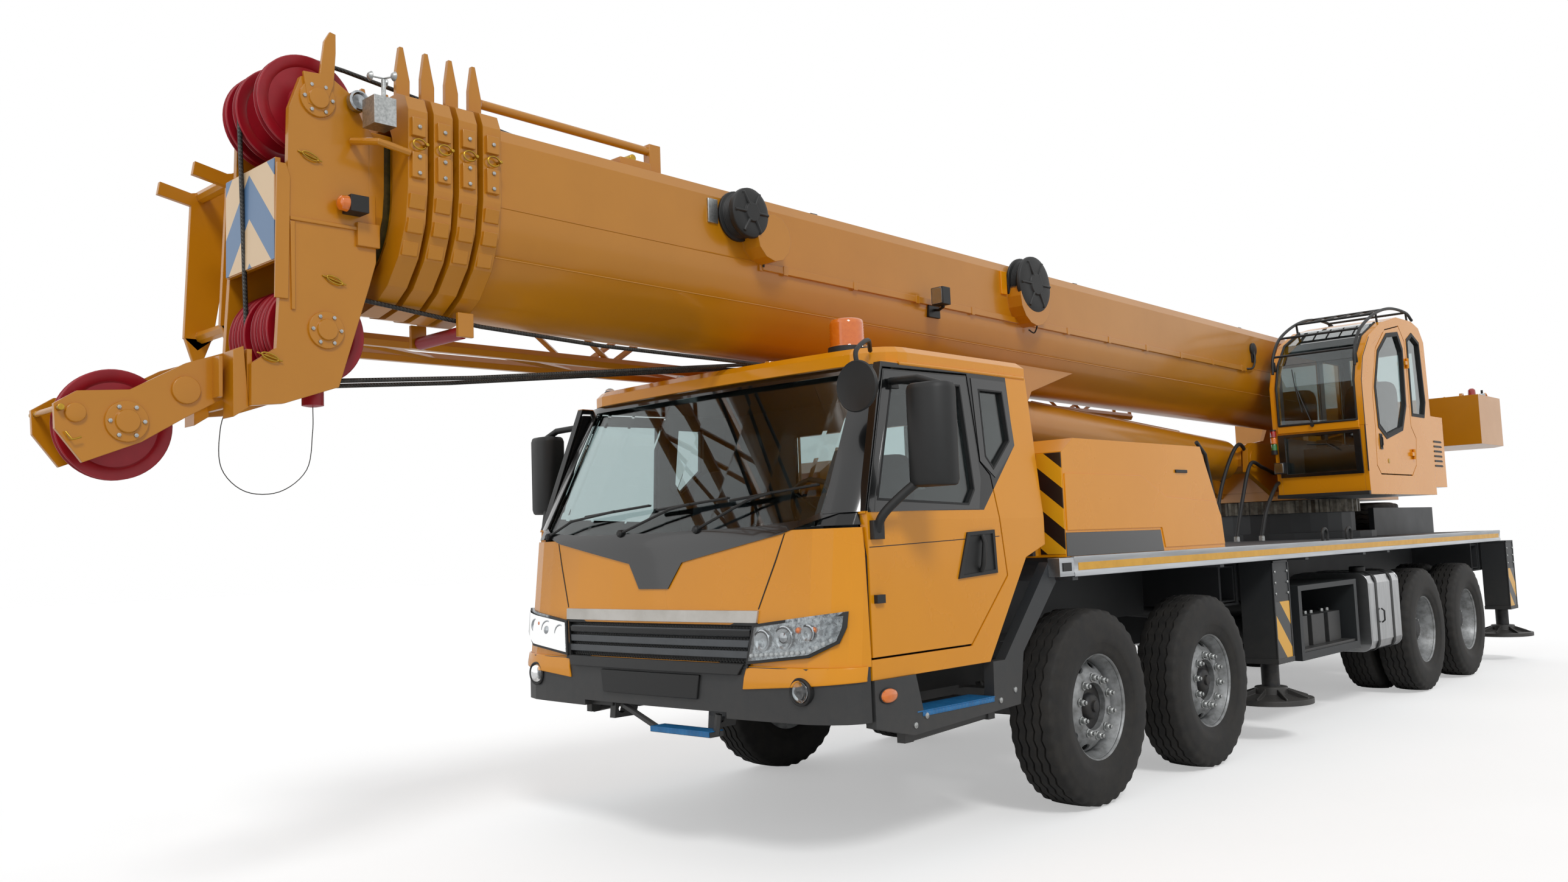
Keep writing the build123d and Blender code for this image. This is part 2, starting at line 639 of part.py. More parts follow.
def opcab_interior():
    return seat(900, 6050, 1871) + block((650, 1150), (5150, 5350), (1871, 2250))


# Boom: built level with its foot pivot at the origin, then tipped up and moved into place

def boom_place(shape):
    return Pos(0, *FOOT_PIVOT) * Rot(-BOOM_TILT, 0, 0) * shape


def boom_outline(half, top, bottom):
    """A section with a flat, round-cornered top and a deep round belly, as a sketch in (x, z)."""
    corner = half * 0.22
    belly = top - (top - bottom) * 0.46
    steps = [(half * cos(radians(a)), belly - (belly - bottom) * sin(radians(a))) for a in range(0, 181, 18)]
    corners = [(-half, top - corner), (-half + corner * 0.3, top - corner * 0.3), (-half + corner, top),
               (half - corner, top), (half - corner * 0.3, top - corner * 0.3), (half, top - corner)]
    return Polygon(*steps, *corners, align=None)


def boom_size(number):
    """Half width, top and bottom of a numbered section."""
    shrink = BOOM_STEP * (number - 1)
    return BOOM_HALF - shrink, BOOM_TOP - shrink, BOOM_TOP - BOOM_H + shrink


def boom_tube(number, nose, tail, wall=BOOM_WALL):
    half, top, bottom = boom_size(number)
    ring = boom_outline(half, top, bottom) - boom_outline(half - wall, top - wall, bottom + wall)
    return extrude(Plane.XZ.offset(-tail) * ring, nose + tail, dir=(0, -1, 0))


def collar(number):
    """The stiffening frame round a section's front end, with its pointed lug plates."""
    half, top, bottom = boom_size(number)
    front = BOOM_NOSE + COLLAR_PITCH * (number - 1)
    out = COLLAR_OUT + BOOM_STEP * (number - 1) * 0.9
    ring = boom_outline(half + out, top + out, bottom - out) - boom_outline(half - 2, top - 2, bottom + 2)
    frame = extrude(Plane.XZ.offset(front - COLLAR_T) * ring, COLLAR_T, dir=(0, -1, 0))
    edge = top + out
    lug = across([(-front + 78, edge - 15), (-front + 14, edge - 15), (-front + 14, edge + 110),
                  (-front + 30, edge + 225), (-front + 46, edge + 225), (-front + 78, edge + 80)], (268, 290))
    return frame + both(lug)


def boom_section_1():
    tube = boom_tube(1, BOOM_NOSE, 260) + collar(1)
    half, top, bottom = boom_size(1)
    foot = across([(-520, top - 10), (230, top - 10), (300, 60), (170, -170), (-60, -160), (-520, bottom + 200)],
                  (half - 4, half + 8))
    foot -= pin_seat((half - 30, half + 40), 0, 0)
    tube -= pin_seat((-half - 30, half + 30), 0, 0)
    tube -= block((-half - 50, half + 50), (-60, 400), (bottom - 50, -170))
    at = FOOT_PIVOT[0] - LUFF_HIGH[0]
    ear = across([(-at - 330, bottom + 160), (-at + 780, bottom + 160), (-at + 200, bottom - 20),
                  (-at + 90, -690), (-at - 90, -690), (-at - 190, bottom - 20)], (255, 295))
    inside = boom_outline(half - BOOM_WALL / 2, top - BOOM_WALL / 2, bottom + BOOM_WALL / 2)
    ear -= extrude(Plane.XZ * inside, BOOM_NOSE, dir=(0, -1, 0))
    ear -= disc_x((200, 340), -at, -697 + 92, 60)
    reels = disc_x((half - 4, half + 120), -9320, 60, 130, 12) + disc_x((half - 4, half + 110), -6700, 75, 190, 16)
    return boom_place(tube + both(foot + ear) + reels)


def boom_section(number):
    nose = BOOM_NOSE + COLLAR_PITCH * (number - 1)
    return boom_place(boom_tube(number, nose, -150 - 60 * number) + collar(number))


HEAD = [(-4245, 3390), (-4195, 3530), (-4070, 3560), (-3970, 3500), (-3925, 3400), (-3870, 3340), (-3870, 2800),
        (-3900, 2700), (-4040, 2260), (-4270, 2180), (-4400, 2165), (-4400, 2330), (-4300, 2400), (-4275, 2800),
        (-4255, 3000)]


def boom_section_5():
    """The innermost section with the boom head welded to its end."""
    tube = boom_place(boom_tube(5, BOOM_NOSE + 4 * COLLAR_PITCH - 25, -450))
    plate = across(HEAD, (230, 258))
    plate -= disc_x((200, 270), *HEAD_TOP, 41.4) + disc_x((200, 270), *HEAD_LOW, 41.4)
    front = block((-231, 231), (-4290, -4268), (2760, 3180)) + block((-231, 231), (-3940, -3915), (2760, 3180))
    stay = block((-231, 231), (-4270, -3940), (2900, 2920))
    return tube + both(plate) + front + stay


def sheaves(places, reach, centre):
    """Grooved rope sheaves at the given x places, one piece with the pin that carries them."""
    pin = 40 - SEAT
    half = 21
    line = [(-reach, 0), (-reach, pin)]
    for x in places:
        line += [(x - half, pin), (x - half, SHEAVE_R), (x, SHEAVE_R - 28), (x + half, SHEAVE_R), (x + half, pin)]
    return Pos(0, *centre) * faceted(line + [(reach, pin), (reach, 0)], 12)


def head_sheaves():
    """Rope sheaves of the boom head and of the auxiliary arm, on their pins."""
    top = sheaves((-150, -50, 150), 250, HEAD_TOP)
    low = sheaves((-160, -105, -50, 50, 105, 160), 250, HEAD_LOW)
    return top + low + sheaves((0,), 138, AUX_AXLE)


def aux_arm():
    """The short arm ahead of the boom head that carries the single-line sheave."""
    plate = across([(-4405, 2400), (-4600, 2330), (-4800, 2215), (-4980, 2200), (FRONT_END, 2150), (-5050, 2060),
                    (-4960, 1940), (-4760, 2020), (-4600, 2120), (-4405, 2230), (-4405, 2300)], (118, 138))
    plate -= disc_x((100, 150), *AUX_AXLE, 41.4)
    tie = disc_x((-118, 118), -4560, 2240, 28) + disc_x((-118, 118), -5038, 2135, 11)
    foot = block((-229, 229), (-4405, -4385), (2180, 2390))
    return both(plate) + tie + foot


JIB_Y = (-3780, 4300)
JIB_X = (-500, -900)
JIB_NOSE_Z = (2616, 3306)
JIB_TAIL_Z = (2630, 3043)
JIB_TAIL_X = (-620, -780)
JIB_BAYS = 9


def jib_point(side, level, part):
    """A point on one of the jib's four chords, part of the way from its nose to its tail."""
    x = JIB_X[side] + (JIB_TAIL_X[side] - JIB_X[side]) * part
    z = JIB_NOSE_Z[level] + (JIB_TAIL_Z[level] - JIB_NOSE_Z[level]) * part
    return (x, JIB_Y[0] + (JIB_Y[1] - JIB_Y[0]) * part, z)


def fly_jib():
    """The lattice extension stowed along the right side of the boom."""
    jib = block((-600, -BOOM_HALF - SEAT), (-2600, -2540), (3205, 3265))
    jib += block((-640, -BOOM_HALF - SEAT), (2400, 2460), (3060, 3120))
    for side in (0, 1):
        for level in (0, 1):
            jib += rod(jib_point(side, level, 0), jib_point(side, level, 1), 34, 6)
    for bay in range(JIB_BAYS):
        here, there = bay / JIB_BAYS, (bay + 1) / JIB_BAYS
        for side in (0, 1):
            level = bay % 2
            jib += rod(jib_point(side, level, here), jib_point(side, 1 - level, there), 18, 4)
        jib += rod(jib_point(0, 0, here), jib_point(1, 0, there), 16, 4)
    for side in (0, 1):
        jib += rod(jib_point(side, 0, 1), jib_point(side, 1, 1), 20, 4)
    for level in (0, 1):
        jib += rod(jib_point(0, level, 1), jib_point(1, level, 1), 20, 4)
    for x in JIB_X:
        jib += across([(-3790, 2580), (-3790, 3340), (-4010, 3340), (-4180, 3300), (-4320, 3330), (-4330, 3270),
                       (-4180, 3240), (-4210, 2610), (-4150, 2556), (-4080, 2610), (-4000, 3100),
                       (-3860, 3100), (-3860, 2580)], (x - 12, x + 12))
    for z in (2620, 3290):
        jib += rod((JIB_X[0], -4130, z), (JIB_X[1], -4130, z), 30)
    return jib


# Luffing cylinder

def luff_line():
    dy = LUFF_HIGH[0] - LUFF_LOW[0]
    dz = LUFF_HIGH[1] - LUFF_LOW[1]
    length = hypot(dy, dz)
    return length, (0, dy / length, dz / length)


def luff_point(distance):
    _, way = luff_line()
    return (0, LUFF_LOW[0] + way[1] * distance, LUFF_LOW[1] + way[2] * distance)


def luff_barrel():
    length, _ = luff_line()
    body = rod(luff_point(100), luff_point(length - 310), LUFF_BARREL_R, 12)
    body -= rod(luff_point(220), luff_point(length - 400), LUFF_BORE_R, 12)
    body -= rod(luff_point(length - 410), luff_point(length - 300), LUFF_ROD_R + SEAT, 12)
    eye = disc_x((-220, 220), *LUFF_LOW, 130)
    eye = eye & block((-220, 220), (4700, 5100), (2000, 2400))
    pin = pin_x((-290, 290), *LUFF_LOW, PIN_R)
    return body + eye + pin


def luff_rod():
    length, _ = luff_line()
    stem = rod(luff_point(250), luff_point(length - 100), LUFF_ROD_R, 12)
    stem += rod(luff_point(230), luff_point(330), LUFF_BORE_R - SEAT, 12)
    return stem + disc_x((-245, 245), *LUFF_HIGH, 130)


# Outriggers

def outrigger_beam(box):
    """The left beam of a box, its jack housing at the outer end."""
    bay = beam_bays(box)[0]
    middle = (bay[0] + bay[1]) / 2
    beam = block((-BOX_HALF + 10, JACK_X - 100), bay, BEAM_Z)
    beam -= block((-BOX_HALF, JACK_X - 200), (bay[0] + 14, bay[1] - 14), (BEAM_Z[0] + 14, BEAM_Z[1] - 14))
    half = JACK_HOUSING / 2
    house = block((JACK_X - half, JACK_X + half), (middle - half - 15, middle + half + 15), JACK_Z)
    house -= rod((JACK_X, middle, JACK_Z[0] + 60), (JACK_X, middle, 1285), JACK_R + 12)
    house -= rod((JACK_X, middle, 500), (JACK_X, middle, 700), JACK_R + SEAT)
    beam -= block((JACK_X - half, JACK_X + half), (middle - half, middle + half), JACK_Z)
    return beam + house


def outrigger_jack(box):
    """A jack's rod and its round float."""
    bay = beam_bays(box)[0]
    middle = (bay[0] + bay[1]) / 2
    stem = rod((JACK_X, middle, 330), (JACK_X, middle, 1275), JACK_R)
    pad = pillar(JACK_X, middle, FLOAT_Z, FLOAT_R, FLOAT_SIDES)
    hub = pillar(JACK_X, middle, (FLOAT_Z[1], 380), 110)
    return stem + pad + hub


def swapped(shape, box):
    """The right-hand outrigger piece: the left one turned half round about the box's middle."""
    middle = (box[0] + box[1]) / 2
    return Pos(0, middle, 0) * Rot(0, 0, 180) * Pos(0, -middle, 0) * shape


PARTS = {
    "chassis_frame": chassis_frame(),
    "deck": deck(),
    "slewing_ring": slewing_ring(),
    "front_bumper": front_bumper(),
    "cab_floor": cab_floor(),
    "cab_front": cab_front_wall() + cab_posts(),
    "cab_sides": cab_sides(),
    "cab_roof": cab_roof() + cab_rear(),
    "cab_glass": cab_glass(),
    "cab_interior": cab_interior(),
    "engine": engine(),
    "side_boxes": side_boxes(),
    "tanks": tanks(),
    "axle_beams": axle_beams(),
    "spare_wheel": spare_wheel(),
    "turret": turret(),
    "counterweight": counterweight(),
    "winches": winches(),
    "opcab_shell": opcab_floor() + opcab_roof(),
    "opcab_sides": opcab_sides(),
    "opcab_glass": opcab_glass(),
    "opcab_interior": opcab_interior(),
    "opcab_door": opcab_door(),
    "opcab_door_glass": opcab_door_glass(),
    "luff_barrel": luff_barrel(),
    "luff_rod": luff_rod(),
    "boom_section_1": boom_section_1(),
    "boom_section_2": boom_section(2),
    "boom_section_3": boom_section(3),
    "boom_section_4": boom_section(4),
    "boom_section_5": boom_section_5(),
    "head_sheaves": head_sheaves(),
    "aux_arm": aux_arm(),
    "fly_jib": fly_jib(),
}

for side, put in (("left", lambda shape: shape), ("right", flip)):
    for number, y in enumerate(AXLES, 1):
        wheel = single_wheel() if number < 3 else twin_wheel()
        PARTS[f"wheel_{number}_{side}"] = put(Pos(0, y, AXLE_Z) * wheel)
        if number < 3:
            PARTS[f"knuckle_{number}_{side}"] = put(Pos(0, y, 0) * knuckle())
    PARTS[f"door_{side}"] = put(door_left())
    PARTS[f"door_glass_{side}"] = put(door_glass())
    PARTS[f"mirror_{side}"] = put(mirror_left())

for name, box in (("front", BOX_FRONT), ("rear", BOX_REAR)):
    PARTS[f"beam_{name}_left"] = outrigger_beam(box)
    PARTS[f"beam_{name}_right"] = swapped(outrigger_beam(box), box)
    PARTS[f"jack_{name}_left"] = outrigger_jack(box)
    PARTS[f"jack_{name}_right"] = swapped(outrigger_jack(box), box)

os.makedirs("parts", exist_ok=True)
for name, shape in PARTS.items():
    export_step(Pos(0, SHIFT, 0) * shape, f"parts/{name}.step")
print(len(PARTS), "pieces")
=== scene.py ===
"""A four-axle truck crane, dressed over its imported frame."""

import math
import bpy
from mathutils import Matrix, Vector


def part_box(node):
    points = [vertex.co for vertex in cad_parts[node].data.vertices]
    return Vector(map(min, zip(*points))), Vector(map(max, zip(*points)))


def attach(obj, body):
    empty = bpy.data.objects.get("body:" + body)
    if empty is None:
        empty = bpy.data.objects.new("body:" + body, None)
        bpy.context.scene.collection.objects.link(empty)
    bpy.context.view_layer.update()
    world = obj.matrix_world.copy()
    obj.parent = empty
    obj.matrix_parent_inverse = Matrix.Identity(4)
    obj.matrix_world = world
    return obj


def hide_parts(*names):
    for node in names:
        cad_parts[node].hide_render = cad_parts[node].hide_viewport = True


bl_info = {
    "name": "Truck Crane",
    "version": (1, 0, 0),
    "blender": (4, 5, 0),
    "location": "View3D > Sidebar > Crane",
    "description": "Dresses the packed truck crane with finished surfaces and detail",
    "category": "Object",
}

import bmesh
import bpy
from mathutils import Matrix, Vector

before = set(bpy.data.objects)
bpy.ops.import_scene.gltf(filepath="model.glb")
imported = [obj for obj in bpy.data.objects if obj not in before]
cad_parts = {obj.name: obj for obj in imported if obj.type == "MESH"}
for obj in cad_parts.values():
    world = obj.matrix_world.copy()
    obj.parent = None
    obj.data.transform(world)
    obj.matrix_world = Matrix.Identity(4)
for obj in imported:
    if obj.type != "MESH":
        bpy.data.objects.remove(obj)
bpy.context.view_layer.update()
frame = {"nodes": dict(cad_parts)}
FIRST_AXLE_Y = sum(corner.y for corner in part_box("wheel_1_left")) / 2
HUB_Z = sum(corner.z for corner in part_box("wheel_1_left")) / 2
SIDES = {"left": 1, "right": -1}

# The studio: lamps as name, energy, spread in degrees and direction; sky and floor brightness
LAMPS = (("key", 1.15, 14, (-0.62, 0.40, -0.68)), ("fill", 0.28, 60, (0.35, 0.86, -0.36)))
SKY = 0.42
FLOOR_LIFT = 0.40

# The viewpoint, fitted to the photo: place in the station frame, yaw, pitch and roll in degrees
EYE = (5.05743, -6.50408, 1.54918)
EYE_TURN = (-43.2276, 4.7455, -2.1487)
SENSOR = 36
FOCAL = 2059.02 / 2576 * SENSOR

# Circles on a wheel disc: inner and outer edge of the hand holes' ring, wheel nuts, hub bolts
HOLE_RING = (0.196, 0.262)
NUT_CIRCLE = 0.1655
BOLT_CIRCLE = 0.094


def linear(code):
    """An sRGB hex colour as linear red, green, blue and alpha."""
    parts = [int(code[i:i + 2], 16) / 255 for i in (1, 3, 5)]
    return [c / 12.92 if c <= 0.04045 else ((c + 0.055) / 1.055) ** 2.4 for c in parts] + [1.0]


def colour_of(name, code, note):
    return bpy.props.FloatVectorProperty(name=name, description=note, subtype="COLOR", size=4,
                                         min=0.0, max=1.0, default=linear(code))


class CraneColours(bpy.types.PropertyGroup):
    cab: colour_of("Cab enamel", "#EC9A0A", "Body colour of the cabs and covers")
    # The boom's colour is the cab enamel painted darker: painted shade on the boom, turntable and
    # counterweight.
    boom: colour_of("Boom enamel", "#C98309", "Body colour of the boom, turntable and counterweight")
    frame: colour_of("Frame paint", "#2A2D30", "Carrier frame, skirts and outriggers")
    sheave: colour_of("Sheave nylon", "#A30F22", "Rope sheaves of the boom head")
    rim: colour_of("Rim paint", "#9A9C9D", "Wheel rims")
    step: colour_of("Step tread", "#1D72AC", "Anti-slip treads of the boarding steps")
    hazard: colour_of("Hazard yellow", "#F2B21B", "Light bars of the warning stripes")


class CraneSizes(bpy.types.PropertyGroup):
    rope: bpy.props.FloatProperty(name="Rope diameter", description="Hoist rope", default=0.020, min=0.008,
                                  max=0.03, unit="LENGTH")
    groove: bpy.props.FloatProperty(name="Tread depth", description="Depth of the tyre's grooves",
                                    default=0.013, min=0.004, max=0.02, unit="LENGTH")
    nuts: bpy.props.IntProperty(name="Wheel nuts", description="Nuts on each wheel", default=10, min=6,
                                max=12)
    holes: bpy.props.IntProperty(name="Hand holes", description="Holes round each rim", default=10, min=6,
                                 max=12)


def colours():
    return bpy.context.scene.crane_colours


def sizes():
    return bpy.context.scene.crane_sizes


# Materials


def put(tree, kind, values=None, links=None, **settings):
    """Add one shader node with its settings, socket values and incoming links."""
    new = tree.nodes.new("ShaderNode" + kind)
    for name, value in settings.items():
        setattr(new, name, value)
    for socket, value in (values or {}).items():
        new.inputs[socket].default_value = value
    for socket, (source, output) in (links or {}).items():
        tree.links.new(source.outputs[output], new.inputs[socket])
    return new


def surface(name, colour, rough, metallic=0.0, mottle=None, grain=None, dust=None, edge=0.0, stretch=None,
            **sockets):
    """A solid finish.

    mottle is (colour, size mm, share), grain (size mm, height mm), dust (colour, top z, share).
    """
    made = bpy.data.materials.new(name)
    made.use_nodes = True
    tree = made.node_tree
    shader = tree.nodes["Principled BSDF"]
    for socket, value in sockets.items():
        shader.inputs[socket.replace("_", " ").title().replace("Ior", "IOR")].default_value = value
    shader.inputs["Metallic"].default_value = metallic
    place = put(tree, "TexCoord")
    source = (place, "Object")
    if stretch:
        source = (put(tree, "Mapping", {"Scale": stretch}, {"Vector": source}), "Vector")
    base = None
    if mottle:
        second, size, share = mottle
        cloud = put(tree, "TexNoise", {"Scale": 1000 / size, "Detail": 5.0, "Roughness": 0.62},
                    {"Vector": source})
        amount = put(tree, "MapRange", {"From Min": 0.38, "From Max": 0.66, "To Max": share},
                     {"Value": (cloud, "Fac")})
        base = put(tree, "Mix", {6: colour, 7: second}, {0: (amount, "Result")}, data_type="RGBA")
        lift = put(tree, "MapRange", {"To Min": max(rough - 0.04, 0.03), "To Max": rough + 0.1},
                   {"Value": (cloud, "Fac")})
        tree.links.new(lift.outputs["Result"], shader.inputs["Roughness"])
    else:
        shader.inputs["Roughness"].default_value = rough
        shader.inputs["Base Color"].default_value = colour
    if dust:
        shade, top, share = dust
        split = put(tree, "SeparateXYZ", links={"Vector": (place, "Object")})
        low = put(tree, "MapRange", {"From Max": top, "To Min": share, "To Max": 0.0},
                  {"Value": (split, "Z")})
        speck = put(tree, "TexNoise", {"Scale": 14.0, "Detail": 8.0, "Roughness": 0.7},
                    {"Vector": (place, "Object")})
        worn = put(tree, "Math", links={0: (low, "Result"), 1: (speck, "Fac")}, operation="MULTIPLY")
        before = {6: (base, 2)} if base else {}
        first = {7: shade} if base else {6: colour, 7: shade}
        base = put(tree, "Mix", first, {0: (worn, "Value"), **before}, data_type="RGBA")
    if base:
        tree.links.new(base.outputs[2], shader.inputs["Base Color"])
    normal = None
    if edge:
        normal = (put(tree, "Bevel", {"Radius": edge}, samples=4), "Normal")
    if grain:
        size, height = grain
        rough_skin = put(tree, "TexNoise", {"Scale": 1000 / size, "Detail": 2.0}, {"Vector": source})
        links = {"Height": (rough_skin, "Fac")}
        if normal:
            links["Normal"] = normal
        normal = (put(tree, "Bump", {"Strength": 0.5, "Distance": height / 1000}, links), "Normal")
    if normal:
        tree.links.new(normal[0].outputs[normal[1]], shader.inputs["Normal"])
    return made


def over(made, colour, rough, regions, metallic=None):
    """Change a finish inside any of the regions, alike left and right; a region is a list of planes."""
    tree = made.node_tree
    shader = tree.nodes["Principled BSDF"]
    place = put(tree, "TexCoord")
    parts = put(tree, "SeparateXYZ", links={"Vector": (place, "Object")})
    width = put(tree, "Math", links={0: (parts, "X")}, operation="ABSOLUTE")
    folded = put(tree, "CombineXYZ", links={"X": (width, "Value"), "Y": (parts, "Y"), "Z": (parts, "Z")})
    inside = None
    for planes in regions:
        depth = None
        for x, y, z, offset in planes:
            reach = put(tree, "VectorMath", {1: (x, y, z)}, {0: (folded, "Vector")}, operation="DOT_PRODUCT")
            reach = put(tree, "Math", {1: offset - y * FIRST_AXLE_Y}, {0: (reach, "Value")}, operation="ADD")
            if depth:
                reach = put(tree, "Math", links={0: (depth, "Value"), 1: (reach, "Value")},
                            operation="MINIMUM")
            depth = reach
        if inside:
            depth = put(tree, "Math", links={0: (inside, "Value"), 1: (depth, "Value")}, operation="MAXIMUM")
        inside = depth
    flag = put(tree, "Math", {1: 0.0}, {0: (inside, "Value")}, operation="GREATER_THAN")
    before = shader.inputs["Base Color"].links[0].from_socket
    paint = put(tree, "Mix", {7: colour}, {0: (flag, "Value")}, data_type="RGBA")
    tree.links.new(before, paint.inputs[6])
    tree.links.new(paint.outputs[2], shader.inputs["Base Color"])
    before = shader.inputs["Roughness"].links[0].from_socket
    sheen = put(tree, "Mix", {3: rough}, {0: (flag, "Value")}, data_type="FLOAT")
    tree.links.new(before, sheen.inputs[2])
    tree.links.new(sheen.outputs[0], shader.inputs["Roughness"])
    if metallic is not None:
        metal = put(tree, "Mix", {2: shader.inputs["Metallic"].default_value, 3: metallic},
                    {0: (flag, "Value")},
                    data_type="FLOAT")
        tree.links.new(metal.outputs[0], shader.inputs["Metallic"])
    return made


# Parts of the cabs, as planes in metres from the first axle: a point is inside where all are above zero

CAB_INSIDE = [(-1, 0, 0, 1.278), (-1, 0, -0.09375, 1.4327), (0, 1, -0.1077, 2.2595), (0, 1, -0.5283, 2.9385),
              (-0.5255, 0.8508, -0.0916, 2.4621), (-0.5255, 0.8508, -0.4495, 3.0395), (0, -1, 0, -0.43),
              (0, 0, -1, 2.45), (0, 0, 1, -0.95)]
CAB_GLASSHOUSE = [(0, 0, 1, -1.695), (0, 0, -1, 2.436), (0, -1, 0, -0.605), (0, -1, 1.055, -2.763)]
SCREEN_POSTS = [(0, 0, 1, -1.628)]
GRILLE_HOLE = [(-1, 0, 0.19, 0.512), (0, 0, 1, -0.986), (0, 0, -1, 1.168)]
OPCAB_INSIDE = [(1, 0, 0, -0.512), (-1, 0, 0, 1.288), (0, 1, 0.05, -5.002), (0, 0.725, -0.6887, -1.5133),
                (0, 0.388, -0.9216, 0.9598), (0, 0.2119, -0.9773, 2.1160), (0, -1, 0, 6.70),
                (0, 0, -1, 3.453)]
RACK = [(0, -1, 0, 4.5)]


def striped(name, dark, light, way, pitch, rough, folded=False):
    """Film printed with slanted bars; way is the direction across them, folded mirrors them about x = 0."""
    made = surface(name, light, rough, Coat_Weight=0.3)
    tree = made.node_tree
    shader = tree.nodes["Principled BSDF"]
    place = put(tree, "TexCoord")
    source = (place, "Object")
    if folded:
        source = (put(tree, "VectorMath", links={0: source}, operation="ABSOLUTE"), "Vector")
    across = put(tree, "VectorMath", {1: way}, {0: source}, operation="DOT_PRODUCT")
    turns = put(tree, "Math", {1: 1 / pitch}, {0: (across, "Value")}, operation="MULTIPLY")
    part = put(tree, "Math", links={0: (turns, "Value")}, operation="FRACT")
    bar = put(tree, "Math", {1: 0.5}, {0: (part, "Value")}, operation="GREATER_THAN")
    mix = put(tree, "Mix", {6: dark, 7: light}, {0: (bar, "Value")}, data_type="RGBA")
    tree.links.new(mix.outputs[2], shader.inputs["Base Color"])
    return made


def patterned(made, kind, scale, height, **values):
    """Press a repeating pattern into a finish: kind is a texture node, scale its turns a metre."""
    tree = made.node_tree
    shader = tree.nodes["Principled BSDF"]
    place = put(tree, "TexCoord")
    settings = values.pop("settings", {})
    texture = put(tree, kind, {"Scale": scale, **values}, {"Vector": (place, "Object")}, **settings)
    output = "Distance" if kind == "TexVoronoi" else "Fac"
    bump = put(tree, "Bump", {"Distance": height, "Strength": 0.8}, {"Height": (texture, output)})
    tree.links.new(bump.outputs["Normal"], shader.inputs["Normal"])
    return made


def clear(name, colour, rough, ior=1.5, glow=0.0):
    """A see-through moulding or pane."""
    made = surface(name, colour, rough, Transmission_Weight=1.0, Ior=ior)
    if glow:
        shader = made.node_tree.nodes["Principled BSDF"]
        shader.inputs["Emission Color"].default_value = colour
        shader.inputs["Emission Strength"].default_value = glow
    return made


